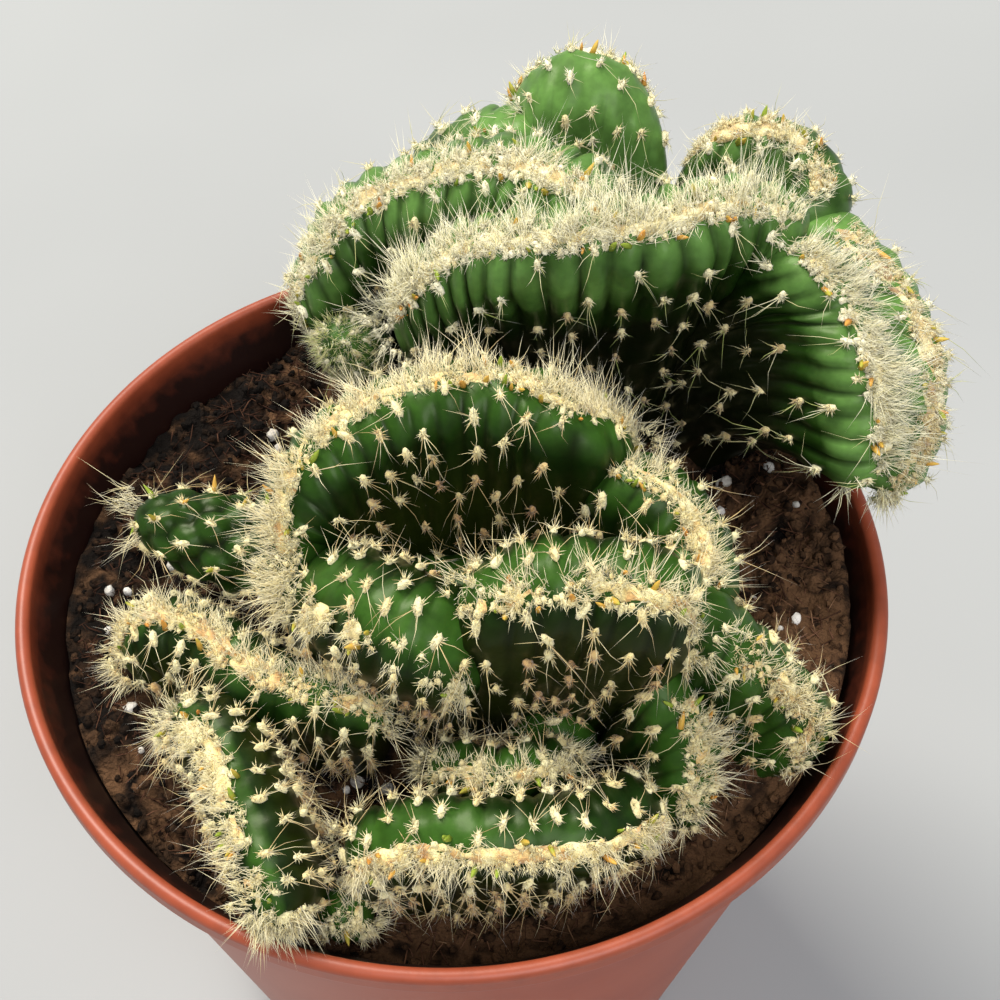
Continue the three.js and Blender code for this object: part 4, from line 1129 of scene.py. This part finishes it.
def soil_height(x, y):
    """The solid's broad waves and the bank, plus crumbs of 3.6, 1.7 and 0.9 mm."""
    broad = 0.8 * np.sin(0.11 * x + 0.7) * np.cos(0.13 * y - 0.4)
    rolls = 0.7 * np.sin(0.47 * x + 1.3 * np.sin(0.31 * y)) * np.cos(0.43 * y + 0.9)
    crumbs = 1.1 * lumps(x, y, 3.6, 5) + 0.8 * lumps(x, y, 1.7, 6) + 0.5 * lumps(x, y, 0.9, 7)
    return SOIL_LEVEL + banked(x, y) + broad + rolls + crumbs


def painted_light_slope(points):
    """Painted light and shade: paler peat toward the front right, darker peat behind."""
    return 0.0036 * (points[:, 0] - points[:, 1])


def to_the_wall(x, y):
    """x and y stretched from the middle, as the pot is wider where the soil stands higher."""
    stretch = (wall_radius(SOIL_LEVEL + banked(x, y)) - WALL - SOIL_GAP) / edge
    return x * stretch, y * stretch


edge = wall_radius(SOIL_LEVEL) - WALL - SOIL_GAP
low_edge = wall_radius(SOIL_BOTTOM) - WALL - 0.8
radii = np.append(np.linspace(0.6, edge, SOIL_RINGS), [low_edge, 6])
rings = radii[:, None, None] * unit_circle(SOIL_SIDES)
top = rings[:-2]
top[..., 0], top[..., 1] = to_the_wall(top[..., 0], top[..., 1])
top[..., 2] = soil_height(top[..., 0], top[..., 1])
brim = SOIL_LEVEL + 0.8 + banked(top[-1, :, 0], top[-1, :, 1])
top[-1, :, 2] = np.minimum(top[-1, :, 2], brim)
rings[-2:, :, 2] = SOIL_BOTTOM
soil_points, soil_faces = closed_rings(rings, (0, 0, rings[0, :, 2].mean()), (0, 0, SOIL_BOTTOM))
# Tone: random tint, with painted light toward the front right and painted shade behind.
soil_tone = (0.36 + 0.4 * lumps(soil_points[:, 0], soil_points[:, 1], 1.6, 8)
             + 0.15 * lumps(soil_points[:, 0], soil_points[:, 1], 6, 9) + painted_light_slope(soil_points))
soil_body = shape(soil_points, soil_faces, 0, soil_tone)


# %% [markdown]
# Loose bits make peat look like peat: crumbs of a millimetre, thin bent
# fibres, and perlite, which is white puffed glass. A usual way is to scatter
# instances. Here each bit is a small copy within one mesh, so that the piece
# is complete in itself.

# %% Crumbs, fibres and perlite
CRUMBS, FIBRES, GRAINS = 2000, 2600, 80


def ball_form(rings, sides):
    """A closed ball of rings with a point at each pole."""
    turn = (np.pi * (np.arange(rings) + 0.5) / rings)[:, None, None]
    loops = np.sin(turn) * unit_circle(sides) + np.cos(turn) * (0, 0, 1)
    return closed_rings(loops, (0, 0, 1), (0, 0, -1))


def strewn(count, reach, rng):
    """Random places on the soil, even over its area and clear of the stems."""
    angle = rng.uniform(0, 2 * np.pi, 3 * count)
    radius = reach * np.sqrt(rng.random(3 * count))
    x, y = to_the_wall(radius * np.cos(angle), radius * np.sin(angle))
    spots = np.column_stack([x, y, soil_height(x, y)])
    return spots[~is_buried(spots, None, 0.6)][:count]


def bits(form, at, rng, sizes, flat, tones, rough, finish=0, light_slope=0):
    """Copies of a ball, each of a random size and flatness, turned at random."""
    size = rng.uniform(*sizes, (len(at), 1)) * rng.uniform(*flat, (len(at), 3))
    a = unit(rng.normal(0, 1, at.shape))
    b = unit(np.cross(a, rng.normal(0, 1, at.shape)))
    # Painted light and shade on the crumbs, as on the soil, by the share given.
    tone = rng.uniform(*tones, len(at)) + light_slope * painted_light_slope(at)
    return copies(ball_form(*form), at, (a, b, np.cross(a, b)), size, tone, rng, rough, finish)


rng = np.random.default_rng(31)
crumbs = bits((3, 5), strewn(CRUMBS, edge - 0.6, rng), rng, (0.3, 0.95), (0.6, 1.2),
              (0.1, 0.5), 0.18, light_slope=1)
fibre_at = strewn(FIBRES, edge - 2, rng) + (0, 0, 0.3)
count = len(fibre_at)
fibre_way = unit(np.column_stack([rng.normal(0, 1, (count, 2)), rng.normal(0.05, 0.3, count)]))
fibre_length, width = rng.uniform(1.0, 4.5, count), rng.uniform(0.05, 0.13, count)
sag = rng.normal(0, 0.8, (count, 3))
# The fibres get the same painted light and shade as the soil.
fibres = needles(fibre_at - fibre_way * fibre_length[:, None] * 0.5, fibre_way, fibre_length, width,
                 rng.uniform(-0.25, 0.4, count) + painted_light_slope(fibre_at), rng, sag, finish=1)
grains = bits((5, 8), strewn(GRAINS, edge - 3, rng) + (0, 0, 0.15), rng, (0.3, 1.0), (0.8, 1.15),
              (0.2, 0.6), 0.12, finish=2)
make_piece("potting_soil", [soil_body, crumbs, fibres, grains], [peat, fibre, perlite],
           ["soil"])


# %% [markdown]
# The pot is thin polypropylene, moulded in terracotta colour, with a rolled
# rim and six drain holes. Its profile is turned round the axis, and the holes
# are cut through the floor with plain cylinders.

# %% Moulded plastic finish
def moulded_plastic(name, base, pale, dark, soil_dust_and_shade):
    """Polypropylene: satin, a faint mottle at 17 mm, fine scuffs, and inside a darkening that is
    part peat soiling, part painted shade.
    """
    plastic = new_finish(name)
    body = ramp(plastic, noise(plastic, 60.0, 4.0), [(0.3, dark), (0.5, base), (0.75, pale)])
    # Soil dust and painted shade: tone darkens the inside toward the dark colour.
    dust_and_shade_mask = ramp(plastic, varied(plastic, 420.0, 5.0, 0.4, "tone"), [(0.25, BLACK), (0.95, WHITE)])
    return finished(plastic, mix(plastic, dust_and_shade_mask, body, linear(soil_dust_and_shade)), 0.42, IOR=1.49,
                    Normal=bump(plastic, noise(plastic, 1500.0, 2.0), 0.12, 0.0001))


terracotta = moulded_plastic("terracotta polypropylene", "#A24D32", "#A85338", "#9A472E", "#1F0B07")


# %% [markdown]
# A nursery pot is formed from thin sheet, so its wall is 1.6 mm everywhere and
# its rim is rolled to make it stiff. One profile, turned round the axis, is
# outside and inside in one closed skin. Its tone darkens the inside below the
# rim, more and more towards the floor: partly soil dust and partly painted
# shade.

# %% Pot
POT_SIDES = 192


def pot_profile():
    """Half section as radius, height, and a darkening of peat soiling and painted shade,
    from the middle underneath round to the middle of the floor inside. The rim is a roll of 1.8 mm."""
    shoulder = POT_HEIGHT - RIM_DROP
    middle, half = (RIM_RADIUS + RIM_INNER) / 2, (RIM_RADIUS - RIM_INNER) / 2
    roll = np.linspace(-0.35, np.pi * 0.97, 15)
    return np.array([
        (8, 0, 0), (17, 0, 0), (BASE_RADIUS - 3, 0, 0), (BASE_RADIUS - 1.2, 0, 0),
        (BASE_RADIUS - 0.3, 0.3, 0), (wall_radius(1.2), 1.2, 0),
        *((wall_radius(z), z, 0) for z in np.linspace(3, shoulder - 1.2, 20)),
        (wall_radius(shoulder - 0.4) + 0.15, shoulder - 0.5, 0),
        (RIM_RADIUS - 0.7, shoulder - 0.3, 0), (RIM_RADIUS - 0.15, shoulder + 0.1, 0),
        (RIM_RADIUS, shoulder + 0.7, 0),
        # The third number is soil dust and painted shade: light on the rim, darkening from below it
        # to the floor inside.
        *((middle + half * math.cos(t), POT_HEIGHT - half + half * math.sin(t), 0.1) for t in roll),
        (RIM_INNER - 0.05, POT_HEIGHT - 2, 0.35), (RIM_INNER - 0.35, POT_HEIGHT - 3.2, 0.65),
        (wall_radius(shoulder - 3) - WALL, shoulder - 3, 0.85),
        *((wall_radius(z) - WALL, z, 0.9) for z in np.linspace(SOIL_LEVEL + 3, FLOOR + 1, 10)),
        (wall_radius(FLOOR) - WALL - 1, FLOOR, 1), (17, FLOOR, 1), (8, FLOOR, 1)])


rows = pot_profile()
rings = rows[:, 0, None, None] * unit_circle(POT_SIDES)
rings[..., 2] = rows[:, 1:2]
pot_points, pot_faces = closed_rings(rings, (0, 0, 0), (0, 0, FLOOR))
pot_skin = shape(pot_points, pot_faces, 0, np.append(np.repeat(rows[:, 2], POT_SIDES), [0, 1]))
pot = make_piece("nursery_pot", [pot_skin], [terracotta], ["pot"])


# %% [markdown]
# Water leaves through six round holes in the floor. They are cut with short
# cylinders after the turning, since a profile can't carry them. The cut is
# applied at once, so the mesh is plain again.

# %% Drain holes
DRAIN_HOLES, DRAIN_RADIUS, DRAIN_CIRCLE = 6, 3, 24

cutter_mesh = bpy.data.meshes.new("drain_cutter")
drill = bmesh.new()
for turn in turns(DRAIN_HOLES) + math.pi / DRAIN_HOLES:
    place = Vector((DRAIN_CIRCLE * math.cos(turn), DRAIN_CIRCLE * math.sin(turn), FLOOR / 2))
    bmesh.ops.create_cone(drill, cap_ends=True, segments=32, radius1=DRAIN_RADIUS * MM,
                          radius2=DRAIN_RADIUS * MM, depth=2 * FLOOR * MM,
                          matrix=Matrix.Translation(place * MM))
drill.to_mesh(cutter_mesh)
drill.free()
cutter = placed("drain_cutter", cutter_mesh)
cut = pot.modifiers.new("drain_holes", "BOOLEAN")
cut.operation, cut.solver, cut.object = "DIFFERENCE", "EXACT", cutter
drained = bpy.data.meshes.new_from_object(pot.evaluated_get(bpy.context.evaluated_depsgraph_get()))
pot.modifiers.clear()
pot.data = drained
bpy.data.objects.remove(cutter)
print("pot with drain holes:", len(drained.polygons), "faces")


# %% [markdown]
# The photograph was taken from close by, looking down at 52 degrees, so the
# camera stands 18 cm from the rim with a 54 mm lens. Its place comes from the
# ellipse that the rim makes in the picture.

# %% Camera
LOOK_DOWN, ROLL = math.radians(52.43), math.radians(-0.493)
CAMERA_AT = (0.00585, -0.1059, 0.24076)
camera = placed("camera", bpy.data.cameras.new("camera"))
camera.data.lens, camera.data.sensor_width, camera.data.clip_start = 54, 36, 0.01
tilt, turn = Matrix.Rotation(math.pi / 2 - LOOK_DOWN, 4, "X"), Matrix.Rotation(ROLL, 4, "Z")
camera.matrix_world = Matrix.Translation(CAMERA_AT) @ tilt @ turn
bpy.context.scene.camera = camera


# %% [markdown]
# The photograph was taken indoors, on a pale table. Soft light comes from a
# window behind and to the left, with a weaker share from the room in front.
# Two large square lamps give the soft shadows, and an even grey world stands
# for the walls.

# %% Light and table
LAMP_SIZE, AIM, TABLE = 1.2, Vector((0, 0, 0.1)), 3


def soft_light(name, place, power, colour):
    """A square lamp that points at the crests."""
    data = bpy.data.lights.new(name, "AREA")
    data.shape, data.size, data.energy, data.color = "SQUARE", LAMP_SIZE, power, linear(colour)[:3]
    way = (AIM - Vector(place)).to_track_quat("-Z", "Y")
    placed(name, data).matrix_world = Matrix.Translation(place) @ way.to_matrix().to_4x4()


soft_light("window", (-0.9, 1.0, 2.3), 90, "#FFF9EE")
soft_light("room", (0.5, -1.2, 1.7), 26, "#FBFBFF")

table_mesh = bpy.data.meshes.new("table")
table_mesh.from_pydata([(-TABLE, -TABLE, 0), (TABLE, -TABLE, 0), (TABLE, TABLE, 0),
                        (-TABLE, TABLE, 0)], [], [(0, 1, 2, 3)])
table = placed("table", table_mesh)
painted = new_finish("pale painted table")
tint = ramp(painted, noise(painted, 9.0, 2.0), [(0.3, "#A4A7A8"), (0.7, "#A9ACAD")])
table_mesh.materials.append(finished(painted, tint, 0.8))

world = bpy.data.worlds.new("room")
bpy.context.scene.world = world
world.use_nodes = True
set_inputs(world, world.node_tree.nodes["Background"],
           {"Color": linear("#E6E8EA"), "Strength": 0.4})
bpy.context.scene.view_settings.view_transform = "Standard"
